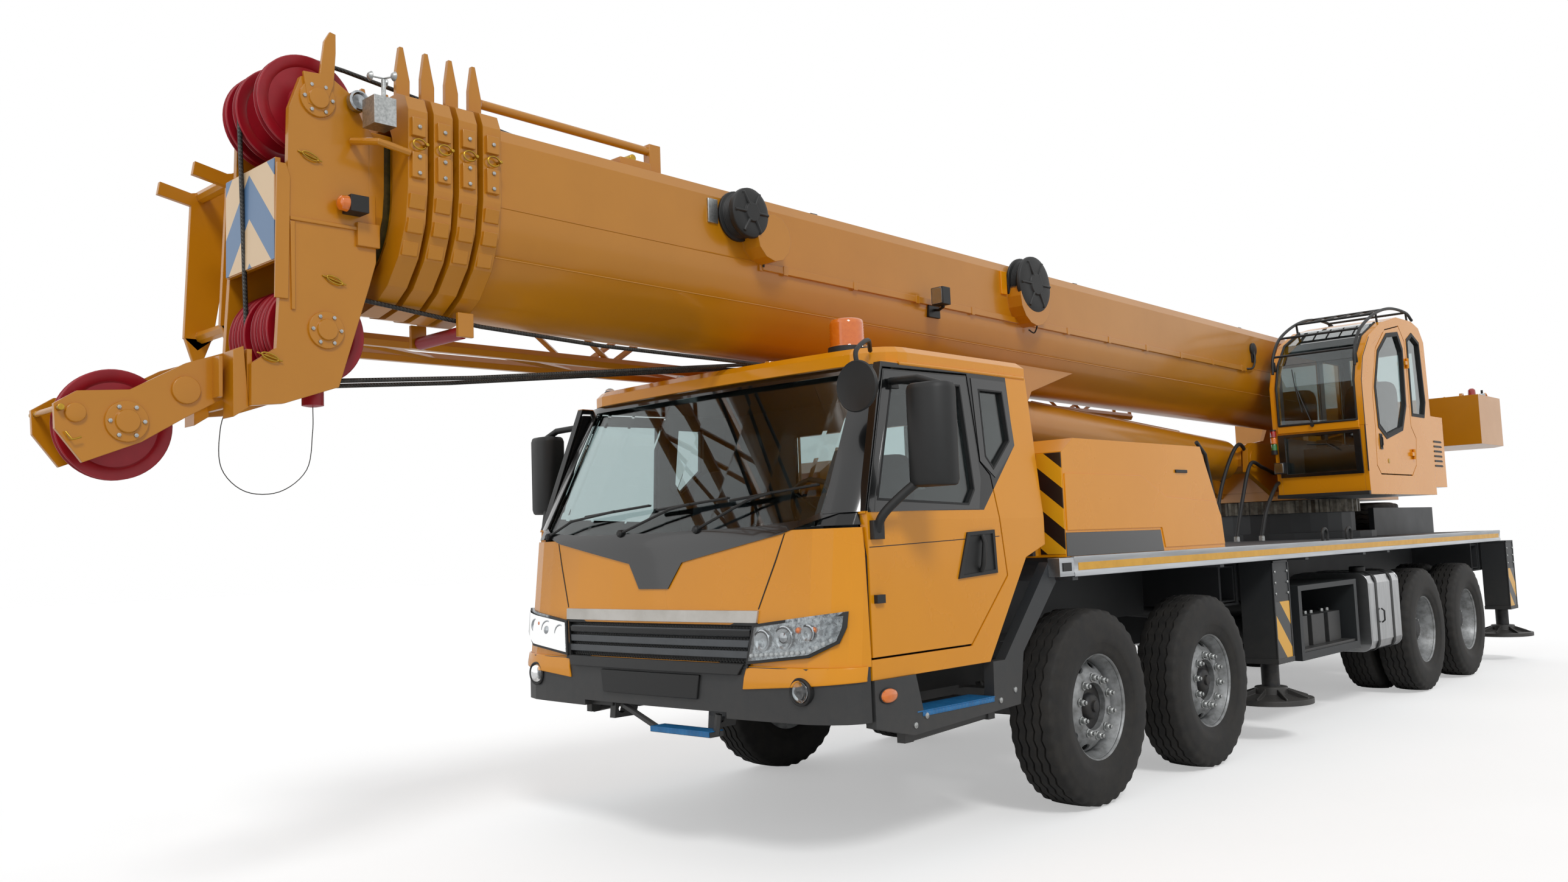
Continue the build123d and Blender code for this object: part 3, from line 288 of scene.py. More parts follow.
def make_finishes():
    """Every finish of the crane, by name."""
    tint = colours()
    cab, boom, grey = list(tint.cab), list(tint.boom), list(tint.frame)
    soil = linear("#6E665A")
    hazard = list(tint.hazard)
    black = linear("#141516")
    pane_black = linear("#101112")
    lining = linear("#37383A")

    def enamel(name):
        return surface(name, cab, 0.24, mottle=(linear("#E39208"), 900, 0.5), grain=(9, 0.05), edge=0.006,
                       Specular_IOR_Level=0.35, Coat_Weight=0.3, Coat_Roughness=0.08)

    return {
        # Two-pack polyurethane enamel sprayed over steel: deep gloss, faint orange peel of about 9 mm.
        "cab_enamel": enamel("cab_enamel"),
        # The same enamel on the cabs' shells, with the black window band and the grey lining of the inside.
        "front_enamel": over(over(enamel("front_enamel"), pane_black, 0.2, [SCREEN_POSTS, GRILLE_HOLE]),
                             lining, 0.7,
                             [CAB_INSIDE]),
        "side_enamel": over(over(enamel("side_enamel"), pane_black, 0.2, [CAB_GLASSHOUSE]), lining, 0.7,
                            [CAB_INSIDE]),
        "roof_enamel": over(enamel("roof_enamel"), lining, 0.7, [CAB_INSIDE]),
        "opcab_enamel": over(enamel("opcab_enamel"), linear("#66696C"), 0.6, [OPCAB_INSIDE]),
        # The same enamel on the boom, painted darker and more ochre than on the cabs as painted shade of the
        # boom's side: satin gloss with long soft patches from handling.
        "boom_enamel": surface("boom_enamel", boom, 0.3, mottle=(linear("#BD7A0A"), 700, 0.55),
                               grain=(11, 0.06), edge=0.005, Coat_Weight=0.4, Coat_Roughness=0.12),
        # Epoxy frame paint, brushed and rolled: satin dark grey, road dust thicker towards the ground.
        "frame_paint": surface("frame_paint", grey, 0.45, mottle=(linear("#2A2D30"), 300, 0.6),
                               grain=(6, 0.12),
                               dust=(soil, 1.3, 0.5), edge=0.004),
        # Injection-moulded black polypropylene: fine 1.5 mm grain drawn at 4 mm so that it shows.
        "moulded_black": surface("moulded_black", linear("#131414"), 0.5, mottle=(linear("#1B1C1D"), 60, 0.6),
                                 grain=(4, 0.15), edge=0.003),
        # Gloss black acrylic band: clean sharp reflections.
        "gloss_black": surface("gloss_black", linear("#101112"), 0.16, mottle=(linear("#17191A"), 500, 0.5),
                               Coat_Weight=0.5, Coat_Roughness=0.05),
        # Toughened float glass: clear, slightly green-grey, mirror smooth.
        "tempered_glass": clear("tempered_glass", linear("#C9D6D6"), 0.0, 1.5),
        # Tyre rubber, vulcanised in a mould: dull black going brown-grey with road dust.
        "tyre_rubber": surface("tyre_rubber", linear("#151413"), 0.72, mottle=(linear("#2C2925"), 90, 0.7),
                               grain=(5, 0.4)),
        # Pressed steel rim in grey primer paint: flat, slightly dirty.
        "rim_paint": surface("rim_paint", list(tint.rim), 0.42, 0.35, mottle=(linear("#5F605E"), 70, 0.75),
                             grain=(7, 0.2), edge=0.003),
        # Hot-dip galvanised steel fasteners: pale grey with 12 mm spangle.
        "galvanised": surface("galvanised", linear("#B9BBBA"), 0.36, 1.0,
                              mottle=(linear("#8F9291"), 12, 0.8)),
        # Cast iron hub, oily black.
        "cast_iron": surface("cast_iron", linear("#26272A"), 0.5, 0.3, mottle=(linear("#3E3B37"), 50, 0.8),
                             grain=(4, 0.4)),
        # Cast nylon sheave, turned: waxy deep red with faint turning lines.
        "cast_nylon": surface("cast_nylon", list(tint.sheave), 0.34, mottle=(linear("#8B0C1D"), 120, 0.6),
                              grain=(3, 0.08), Subsurface_Weight=0.0),
        # Extruded anodised aluminium: bright satin with lengthwise streaks.
        "anodised_aluminium": surface("anodised_aluminium", linear("#C4C7CA"), 0.32, 1.0,
                                      mottle=(linear("#9FA3A7"), 30, 0.6), stretch=(1.0, 0.04, 1.0)),
        # Rolled chequer plate, painted: raised bars 30 mm apart.
        "chequer_plate": patterned(surface("chequer_plate", linear("#5A5D60"), 0.5, 0.3,
                                           mottle=(linear("#44474A"), 400, 0.6)),
                                   "TexVoronoi", 33.0, 0.004, Randomness=0.0,
                                   settings={"distance": "CHEBYCHEV"}),
        # Brushed stainless sheet: streaks run round the tank.
        "brushed_stainless": over(surface("brushed_stainless", linear("#C6C7C8"), 0.27, 1.0,
                                          mottle=(linear("#9B9C9D"), 12, 0.6), stretch=(0.05, 1.0, 0.05)),
                                  linear("#25282A"), 0.5, [RACK], 0.0),
        # Ground and hard-chromed cylinder rod: mirror bright.
        "hard_chrome": surface("hard_chrome", linear("#D9DADB"), 0.12, 1.0,
                               mottle=(linear("#BFC1C2"), 80, 0.4)),
        # Galvanised wire rope, oiled: 8 mm strand lay.
        "wire_rope": patterned(surface("wire_rope", linear("#3C3C3B"), 0.45, 0.8,
                                       mottle=(linear("#565450"), 40, 0.7)),
                               "TexWave", 40.0, 0.003, settings={"bands_direction": "DIAGONAL"}),
        # Lithium grease over the sliding sections' paint, darkened further as painted shade in the gaps
        # between the collars: dark olive, wet.
        "grease": surface("grease", linear("#2B2812"), 0.28, mottle=(linear("#4A4118"), 40, 0.8),
                          grain=(12, 0.6)),
        # Turned steel gear, greased.
        "gear_steel": surface("gear_steel", linear("#5B574F"), 0.35, 0.9, mottle=(linear("#2E2A25"), 60, 0.8),
                              grain=(6, 0.2)),
        # Vacuum-metallised lamp reflector.
        "lamp_mirror": surface("lamp_mirror", linear("#B4B8BB"), 0.12, 1.0,
                               mottle=(linear("#8E9396"), 25, 0.7)),
        # Moulded lamp housing with painted reflections and painted shade: random bright and dark patches in
        # its colour stand in for the reflections of the metallized housing and the shade in its folds.
        "lamp_shell": surface("lamp_shell", linear("#50565A"), 0.25, 0.85,
                              mottle=(linear("#B9BEC1"), 22, 0.85)),
        # Polycarbonate lamp lenses, moulded clear and in colour.
        "clear_lens": clear("clear_lens", linear("#F4F7F8"), 0.03, 1.58),
        "amber_lens": surface("amber_lens", linear("#F07C10"), 0.12, mottle=(linear("#E06A08"), 25, 0.6),
                              Coat_Weight=1.0, Coat_Roughness=0.03),
        "red_lens": surface("red_lens", linear("#B3130F"), 0.14, mottle=(linear("#8D0E0C"), 25, 0.6),
                            Coat_Weight=1.0, Coat_Roughness=0.03),
        "green_lens": surface("green_lens", linear("#1C7F35"), 0.14, mottle=(linear("#156428"), 25, 0.6),
                              Coat_Weight=1.0, Coat_Roughness=0.03),
        # Light-emitting strip behind the headlamp lens, unlit: milky white.
        "lamp_white": surface("lamp_white", linear("#EEF1F2"), 0.3, mottle=(linear("#DDE1E3"), 10, 0.6)),
        # Powder-coated steel tread with punched teeth 28 mm apart.
        "step_tread": patterned(surface("step_tread", list(tint.step), 0.4,
                                        mottle=(linear("#15598A"), 60, 0.6)),
                                "TexVoronoi", 36.0, 0.006, Randomness=0.0),
        # Woven polyester seat cloth over foam: dark blue-grey, 6 mm weave drawn coarse.
        "seat_cloth": surface("seat_cloth", linear("#2C3138"), 0.85, mottle=(linear("#3B4149"), 30, 0.7),
                              grain=(6, 0.6)),
        # Silver-grey trim film with a faint brushed look.
        "trim_film": surface("trim_film", linear("#C9C6C0"), 0.36, 0.4, mottle=(linear("#B2AEA6"), 200, 0.7)),
        # Moulded grey grille bars.
        "grille_grey": surface("grille_grey", linear("#484C50"), 0.4, mottle=(linear("#3C4043"), 120, 0.6),
                               grain=(4, 0.1), edge=0.003),
        # Rubber extrusion round panes and doors, and moulded hoses.
        "seal_rubber": surface("seal_rubber", linear("#101112"), 0.6, mottle=(linear("#1B1C1D"), 50, 0.6)),
        # Mirror glass, silvered.
        "mirror_glass": surface("mirror_glass", linear("#DDE3E6"), 0.03, 1.0,
                                mottle=(linear("#D2D9DC"), 300, 0.4)),
        # Zinc-yellow passivated pins and chains.
        "passivated_zinc": surface("passivated_zinc", linear("#C09A3C"), 0.32, 1.0,
                                   mottle=(linear("#9A7B30"), 30, 0.7)),
        # Retro-reflective warning film: flat printed bars.
        "hazard_film": striped("hazard_film", black, hazard, (0.0, 0.7, 0.72), 0.24, 0.35),
        "cover_film": striped("cover_film", black, hazard, (0.62, 0.0, 0.78), 0.18, 0.35),
        "head_film": striped("head_film", linear("#5C7FA6"), linear("#EBCBA1"), (0.72, 0.0, 0.7), 0.26, 0.4,
                             folded=True),
        "edge_film": surface("edge_film", linear("#E9AE2E"), 0.35, mottle=(linear("#D89D22"), 90, 0.7)),
        # Pale studio floor.
        "floor": surface("floor", linear("#F2F2F1"), 0.7, mottle=(linear("#EDEDEC"), 2000, 0.6)),
    }


FINISH = {}

SOLIDS = {
    "cab_enamel": ("side_boxes",),
    "front_enamel": ("cab_front",),
    "side_enamel": ("cab_sides", "door_left", "door_right"),
    "roof_enamel": ("cab_roof",),
    "opcab_enamel": ("opcab_shell", "opcab_sides", "opcab_door"),
    # These solids take the boom enamel, painted darker than the cabs as shade.
    "boom_enamel": ("turret", "counterweight", "winches", "luff_barrel", "boom_section_1", "boom_section_2",
                    "boom_section_3", "boom_section_4", "boom_section_5", "aux_arm", "fly_jib"),
    "frame_paint": ("chassis_frame", "front_bumper", "cab_floor", "engine", "axle_beams", "knuckle_1_left",
                    "knuckle_1_right", "knuckle_2_left", "knuckle_2_right", "beam_front_left",
                    "beam_front_right",
                    "beam_rear_left", "beam_rear_right", "jack_front_left", "jack_front_right",
                    "jack_rear_left",
                    "jack_rear_right"),
    "chequer_plate": ("deck",),
    "gear_steel": ("slewing_ring",),
    "tempered_glass": ("cab_glass", "door_glass_left", "door_glass_right", "opcab_glass", "opcab_door_glass"),
    "brushed_stainless": ("tanks",),
    "hard_chrome": ("luff_rod",),
}


# Mesh building


def bend(points, steps=6):
    """A smooth line through the given points."""
    spots = [Vector(p) for p in points]
    ends = [2 * spots[0] - spots[1]] + spots + [2 * spots[-1] - spots[-2]]
    line = []
    for a, b, c, d in zip(ends, ends[1:], ends[2:], ends[3:]):
        for step in range(steps):
            t = step / steps
            line.append(0.5 * (2 * b + (c - a) * t + (2 * a - 5 * b + 4 * c - d) * t * t
                               + (3 * b - a - 3 * c + d) * t ** 3))
    return line + [spots[-1]]


class Piece:
    """Gathers one piece's faces, in metres from the first axle, and makes the object."""

    def __init__(self, name, shift=True):
        self.name = name
        self.mesh = bmesh.new()
        self.used = []
        self.index = 0
        self.offset = Vector((0, FIRST_AXLE_Y if shift else 0, 0))

    def use(self, finish):
        if finish not in self.used:
            self.used.append(finish)
        self.index = self.used.index(finish)
        return self

    def faces(self, verts, quads):
        made = [self.mesh.verts.new(v) for v in verts]
        for quad in quads:
            face = self.mesh.faces.new([made[i] for i in quad])
            face.material_index = self.index
            face.smooth = True
        return self

    def loft(self, rings, closed=True, caps=True):
        """Skin between rings of equal length; closed joins each ring's end to its start."""
        count = len(rings[0])
        verts = [v for ring in rings for v in ring]
        quads = []
        for row in range(len(rings) - 1):
            for i in range(count if closed else count - 1):
                j = (i + 1) % count
                quads.append((row * count + i, row * count + j, (row + 1) * count + j, (row + 1) * count + i))
        if caps and closed:
            quads.append(tuple(range(count)))
            quads.append(tuple(range(len(verts) - 1, len(verts) - 1 - count, -1)))
        return self.faces(verts, quads)

    def prism(self, outline, axis, low, high):
        """An outline raised along an axis: x takes (y, z) points, y takes (x, z) and z takes (x, y)."""
        order = {"x": lambda a, b, c: (c, a, b), "y": lambda a, b, c: (a, c, b), "z": lambda a, b,
                 c: (a, b, c)}
        at = order[axis]
        return self.loft([[at(a, b, low) for a, b in outline], [at(a, b, high) for a, b in outline]])

    def box(self, x, y, z):
        return self.prism([(x[0], y[0]), (x[1], y[0]), (x[1], y[1]), (x[0], y[1])], "z", z[0], z[1])

    def tube(self, points, radius, sides=8):
        spots = [Vector(p) for p in points]
        way = (spots[1] - spots[0]).normalized()
        normal = way.orthogonal().normalized()
        rings = []
        for i, spot in enumerate(spots):
            before = spots[max(i - 1, 0)]
            after = spots[min(i + 1, len(spots) - 1)]
            new = (after - before).normalized()
            normal = (way.rotation_difference(new) @ normal).normalized()
            way = new
            second = way.cross(normal)
            rings.append([spot + radius * (math.cos(a) * normal + math.sin(a) * second)
                          for a in (2 * math.pi * s / sides for s in range(sides))])
        return self.loft(rings)

    def spin(self, profile, centre, axis="x", steps=32, caps=True):
        """A (distance along the axis, radius) profile turned round an axis through centre."""
        cx, cy, cz = centre
        rings = []
        for along, radius in profile:
            ring = []
            for s in range(steps):
                a = 2 * math.pi * s / steps
                u, v = radius * math.cos(a), radius * math.sin(a)
                spot = {"x": (cx + along, cy + u, cz + v), "y": (cx + v, cy + along, cz + u),
                        "z": (cx + u, cy + v, cz + along)}[axis]
                ring.append(spot)
            rings.append(ring)
        return self.loft(rings, caps=caps)

    def ring(self, outer, inner, place, low, high):
        """A flat frame between two outlines of equal length; place puts (a, b, out) in space."""
        loops = [[place(a, b, out) for a, b in line] for line, out in
                 ((inner, low), (inner, high), (outer, high), (outer, low), (inner, low))]
        return self.loft(loops, caps=False)

    def skin(self, outline, place, low, high, cuts=(), levels=()):
        """A flat outline wrapped on a curved panel: place puts (a, b, out) in space."""
        flat = bmesh.new()
        flat.faces.new([flat.verts.new((a, b, 0)) for a, b in outline])
        for value, normal in [(c, (1, 0, 0)) for c in cuts] + [(c, (0, 1, 0)) for c in levels]:
            spot = (value, 0, 0) if normal[0] else (0, value, 0)
            bmesh.ops.bisect_plane(flat, geom=flat.verts[:] + flat.edges[:] + flat.faces[:], plane_co=spot,
                                   plane_no=normal, dist=1e-5)
        grown = bmesh.ops.extrude_face_region(flat, geom=flat.faces[:])
        for vert in grown["geom"]:
            if isinstance(vert, bmesh.types.BMVert):
                vert.co.z = 1
        for vert in flat.verts:
            vert.co = Vector(place(vert.co.x, vert.co.y, high if vert.co.z > 0.5 else low))
        flat.verts.index_update()
        verts = [v.co.copy() for v in flat.verts]
        quads = [tuple(v.index for v in f.verts) for f in flat.faces]
        flat.free()
        return self.faces(verts, quads)

    def both(self):
        """Add the mirror image on the other side of the vehicle."""
        copy = bmesh.ops.duplicate(self.mesh,
                                   geom=self.mesh.verts[:] + self.mesh.edges[:] + self.mesh.faces[:])
        for vert in copy["geom"]:
            if isinstance(vert, bmesh.types.BMVert):
                vert.co.x = -vert.co.x
        return self

    def flipped(self):
        """Turn the whole piece into its mirror image."""
        for vert in self.mesh.verts:
            vert.co.x = -vert.co.x
        return self

    def data(self, sharp=38):
        bmesh.ops.recalc_face_normals(self.mesh, faces=self.mesh.faces[:])
        limit = math.radians(sharp)
        for edge in self.mesh.edges:
            if len(edge.link_faces) != 2 or edge.calc_face_angle(0.0) > limit:
                edge.smooth = False
        for vert in self.mesh.verts:
            vert.co += self.offset
        made = bpy.data.meshes.new(self.name)
        self.mesh.to_mesh(made)
        self.mesh.free()
        for finish in self.used:
            made.materials.append(FINISH[finish])
        return made

    def done(self, body, bevel=0.0, stands_for=(), slot=None, segments=2):
        made = bpy.data.objects.new(self.name, self.data())
        bpy.context.scene.collection.objects.link(made)
        if bevel:
            soft = made.modifiers.new("edges", "BEVEL")
            soft.width = bevel
            soft.segments = segments
            soft.limit_method = "ANGLE"
            soft.angle_limit = math.radians(38)
            soft.harden_normals = False
        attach(made, body)
        if stands_for:
            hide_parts(*stands_for)
        return made


# The cab's panels, as the solids have them


def front_base(z):
    if z < 0.97:
        return -2.217
    if z < 1.62:
        return -2.205 + 0.07 * (z - 0.97) / 0.65
    return -2.13 + 0.43 * (z - 1.625) / 0.814


def on_front(x, z, out):
    """A point on the cab's front, held out of it by out."""
    reach = min(abs(x), 0.95)
    y = reach * reach / 24
    slope = reach / 12
    if abs(x) > 0.95:
        t = min((abs(x) - 0.95) / 0.34, 0.9995)
        y += 0.21 * (1 - math.sqrt(1 - t * t))
        slope = 0.21 / 0.34 * t / math.sqrt(1 - t * t)
    away = Vector((math.copysign(slope, x), -1)).normalized() * out
    return (x + away.x, front_base(z) + y + away.y, z)


def side_x(z):
    return 1.29 if z < 1.65 else 1.29 - 0.075 * (z - 1.65) / 0.8


def on_side(y, z, out):
    return (side_x(z) + out, y, z)


def on_opcab(y, z, out):
    return (1.30 + out, y, z)


FRONT_CUTS = [s * c for s in (-1, 1) for c in (0.15, 0.3, 0.45, 0.6, 0.75, 0.9, 0.97, 1.03, 1.08, 1.12, 1.16,
                                                1.19, 1.22, 1.245, 1.262, 1.275, 1.284)] + [0.0]


def mirrored(outline):
    """An outline given for x above 0, closed by its mirror image."""
    return list(outline) + [(-a, b) for a, b in reversed(outline) if a > 0]


# Operators


class CraneOperator(bpy.types.Operator):
    bl_options = {"REGISTER", "UNDO"}

    def execute(self, context):
        self.build()
        return {"FINISHED"}


class CRANE_OT_solids(CraneOperator):
    """Paint the solids that are shown as they are"""

    bl_idname = "crane.solids"
    bl_label = "Painted solids"

    def build(self):
        FINISH.update(make_finishes())
        for finish, nodes in SOLIDS.items():
            for node in nodes:
                paint_solid(node, finish)


def paint_solid(node, finish):
    solid = bpy.data.objects[node]
    for place in solid.material_slots:
        place.material = FINISH[finish]
    if not solid.material_slots:
        raise RuntimeError(f"{node} has no material slot")


TREAD_STEPS = 144
GROOVES = (-0.074, -0.025, 0.025, 0.074)


def tyre_rows(piece, middle):
    """One tyre about x = middle: four zig-zag grooves, notched shoulders and ribbed sidewalls."""
    depth = sizes().groove
    columns = [(-0.117, 0.297, 0, 0), (-0.128, 0.306, 0, 0), (-0.139, 0.325, 0, 0), (-0.147, 0.362, 0, 0),
               (-0.150, 0.366, 0, 0), (-0.1515, 0.40, 0, 0), (-0.1525, 0.44, 0, 0), (-0.150, 0.478, 0, 0),
               (-0.146, 0.497, 0, 0), (-0.139, 0.512, 0, 0), (-0.137, 0.530, 0, 1), (-0.130, 0.545, 0, 1),
               (-0.121, 0.5535, 0, 1)]
    tread = []
    for groove in GROOVES:
        tread += [(groove - 0.0065, 0, 1, 0), (groove - 0.004, depth, 1, 0), (groove + 0.004, depth, 1, 0),
                  (groove + 0.0065, 0, 1, 0)]
    shoulder = [(-x, r, z, n) for x, r, z, n in reversed(columns)]
    verts, count = [], len(columns) * 2 + len(tread)
    for step in range(TREAD_STEPS):
        turn = 2 * math.pi * step / TREAD_STEPS
        zig = (0, 1, 0, -1)[step % 4] * 0.007
        notch = 0.009 if step % 4 < 2 else 0.0
        row = [(x, r - notch * n) for x, r, _, n in columns]
        row += [(x + zig, 0.56 - 0.006 * (x / 0.12) ** 2 - d) for x, d, _, _ in tread]
        row += [(x, r - notch * n) for x, r, _, n in shoulder]
        verts += [(middle + x, r * math.sin(turn), r * math.cos(turn)) for x, r in row]
    quads = []
    for step in range(TREAD_STEPS):
        after = (step + 1) % TREAD_STEPS
        for i in range(count - 1):
            quads.append((step * count + i, step * count + i + 1, after * count + i + 1, after * count + i))
    piece.use("tyre_rubber").faces(verts, quads)


def rim_disc(piece, rim_x, face_x, hub_x, deep):
    """A rim and its hub: rim_x is the flange, face_x the nut face, hub_x the cap, deep the dish."""
    well = face_x - deep
    hub = (0, 0, 0)
    piece.use("rim_paint")
    piece.spin([(rim_x - 0.010, 0.290), (rim_x + 0.004, 0.292), (rim_x + 0.009, 0.300),
                (rim_x + 0.004, 0.308),
                (rim_x - 0.006, 0.302), (rim_x - 0.012, 0.292)], hub, steps=64, caps=False)
    piece.spin([(rim_x - 0.004, 0.293), (rim_x - 0.012, 0.286), (rim_x - 0.030, 0.283),
                (rim_x - 0.044, 0.270),
                (well + 0.01, 0.264), (well, 0.262)], hub, steps=64, caps=False)
    holes = sizes().holes
    low, high = HOLE_RING

    def dish(radius):
        share = (high - radius) / (high - low)
        return well + deep * share ** 0.7

    for hole in range(holes):
        centre = 2 * math.pi * (hole + 0.5) / holes
        half = math.pi / holes
        edge, lip, back = [], [], []
        for step in range(24):
            a = 2 * math.pi * step / 24
            u, v = math.cos(a), math.sin(a)
            big = max(abs(u), abs(v))
            turn, radius = centre + half * u / big, (low + high) / 2 + (high - low) / 2 * v / big
            edge.append((dish(radius), radius * math.sin(turn), radius * math.cos(turn)))
            turn, radius = centre + 0.135 * u, 0.233 + 0.019 * v
            lip.append((dish(radius), radius * math.sin(turn), radius * math.cos(turn)))
            back.append((dish(radius) - 0.014, radius * math.sin(turn), radius * math.cos(turn)))
        piece.loft([edge, lip, back], caps=False)
    piece.spin([(face_x, low), (face_x + 0.005, 0.190), (face_x + 0.006, 0.184), (face_x + 0.006, 0.140),
                (face_x + 0.002, 0.134), (face_x - 0.04, 0.132)], hub, steps=60, caps=False)
    piece.use("seal_rubber").spin([(well - 0.02, 0.262), (well - 0.035, 0.240), (well - 0.035, 0.12)], hub,
                                  steps=40, caps=False)
    piece.use("cast_iron")
    if hub_x - face_x > 0.05:
        piece.spin([(face_x - 0.03, 0.133), (face_x + 0.012, 0.128), (face_x + 0.018, 0.112),
                    (hub_x - 0.022, 0.104),
                    (hub_x - 0.016, 0.086), (hub_x - 0.012, 0.080), (hub_x - 0.003, 0.070), (hub_x, 0.045),
                    (hub_x, 0.001)], hub, steps=40)
    else:
        piece.spin([(face_x - 0.032, 0.134), (face_x - 0.034, 0.078), (face_x - 0.012, 0.072),
                    (hub_x - 0.020, 0.062),
                    (hub_x - 0.016, 0.034), (hub_x - 0.002, 0.032), (hub_x, 0.026), (hub_x, 0.001)], hub,
                   steps=40)
    piece.use("galvanised")
    nuts = sizes().nuts
    for nut in range(nuts):
        turn = 2 * math.pi * nut / nuts
        spot = (0, NUT_CIRCLE * math.sin(turn), NUT_CIRCLE * math.cos(turn))
        piece.spin([(face_x, 0.025), (face_x + 0.014, 0.024), (face_x + 0.016, 0.018)], spot, steps=16)
        piece.spin([(face_x + 0.014, 0.019), (face_x + 0.036, 0.019), (face_x + 0.040, 0.015)], spot, steps=6)
        piece.spin([(face_x + 0.03, 0.011), (face_x + 0.052, 0.011), (face_x + 0.054, 0.008)], spot, steps=12)
    if hub_x - face_x > 0.05:
        for nut in range(8):
            turn = 2 * math.pi * (nut + 0.5) / 8
            spot = (0, BOLT_CIRCLE * math.sin(turn), BOLT_CIRCLE * math.cos(turn))
            piece.spin([(hub_x - 0.025, 0.009), (hub_x - 0.010, 0.009), (hub_x - 0.008, 0.006)], spot,
                       steps=6)


class CRANE_OT_wheels(CraneOperator):
    """Build the eight wheels and the spare, with treaded tyres, rims, hubs and nuts"""

    bl_idname = "crane.wheels"
    bl_label = "Wheels"

    def build(self):
        single = Piece("front_wheel", shift=False)
        tyre_rows(single, 0.0)
        rim_disc(single, 0.112, 0.082, 0.105, 0.070)
        single.use("rim_paint").spin([(-0.112, 0.300), (-0.112, 0.262), (0.02, 0.262)], (0, 0, 0), steps=48,
                                     caps=False)
        twin = Piece("rear_wheel", shift=False)
        for middle in (-0.1725, 0.1725):
            tyre_rows(twin, middle)
        rim_disc(twin, 0.2845, 0.0825, 0.2325, 0.03)
        twin.use("rim_paint").spin([(-0.285, 0.300), (-0.285, 0.262), (0.05, 0.262)], (0, 0, 0), steps=48,
                                   caps=False)
        meshes = {"single": single.data(50), "twin": twin.data(50)}
        for axle in (1, 2, 3, 4):
            for side, sign in SIDES.items():
                node = f"wheel_{axle}_{side}"
                low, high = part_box(node)
                kind = "single" if axle < 3 else "twin"
                x = 1.221 if axle < 3 else 1.0225
                wheel = bpy.data.objects.new(f"dressed_{node}", meshes[kind])
                bpy.context.scene.collection.objects.link(wheel)
                wheel.location = (sign * x, (low.y + high.y) / 2, HUB_Z)
                wheel.rotation_euler = (0.7 * axle, 0, 0 if sign > 0 else math.pi)
                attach(wheel, node)
                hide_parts(node)
        spare = bpy.data.objects.new("dressed_spare_wheel", meshes["single"])
        bpy.context.scene.collection.objects.link(spare)
        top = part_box("spare_wheel")[1].z
        spare.location = (0, FIRST_AXLE_Y + 7.88, top - 0.1525)
        spare.rotation_euler = (0, -math.pi / 2, 0)
        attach(spare, "chassis")
        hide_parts("spare_wheel")
        stand = Piece("spare_wheel_stand").use("frame_paint")
        stand.spin([(1.311, 0.30), (1.48, 0.30), (1.485, 0.26)], (0, 7.88, 0), "z", 32)
        stand.spin([(1.48, 0.08), (1.60, 0.08), (1.605, 0.07)], (0, 7.88, 0), "z", 20)
        stand.done("chassis", 0.004)


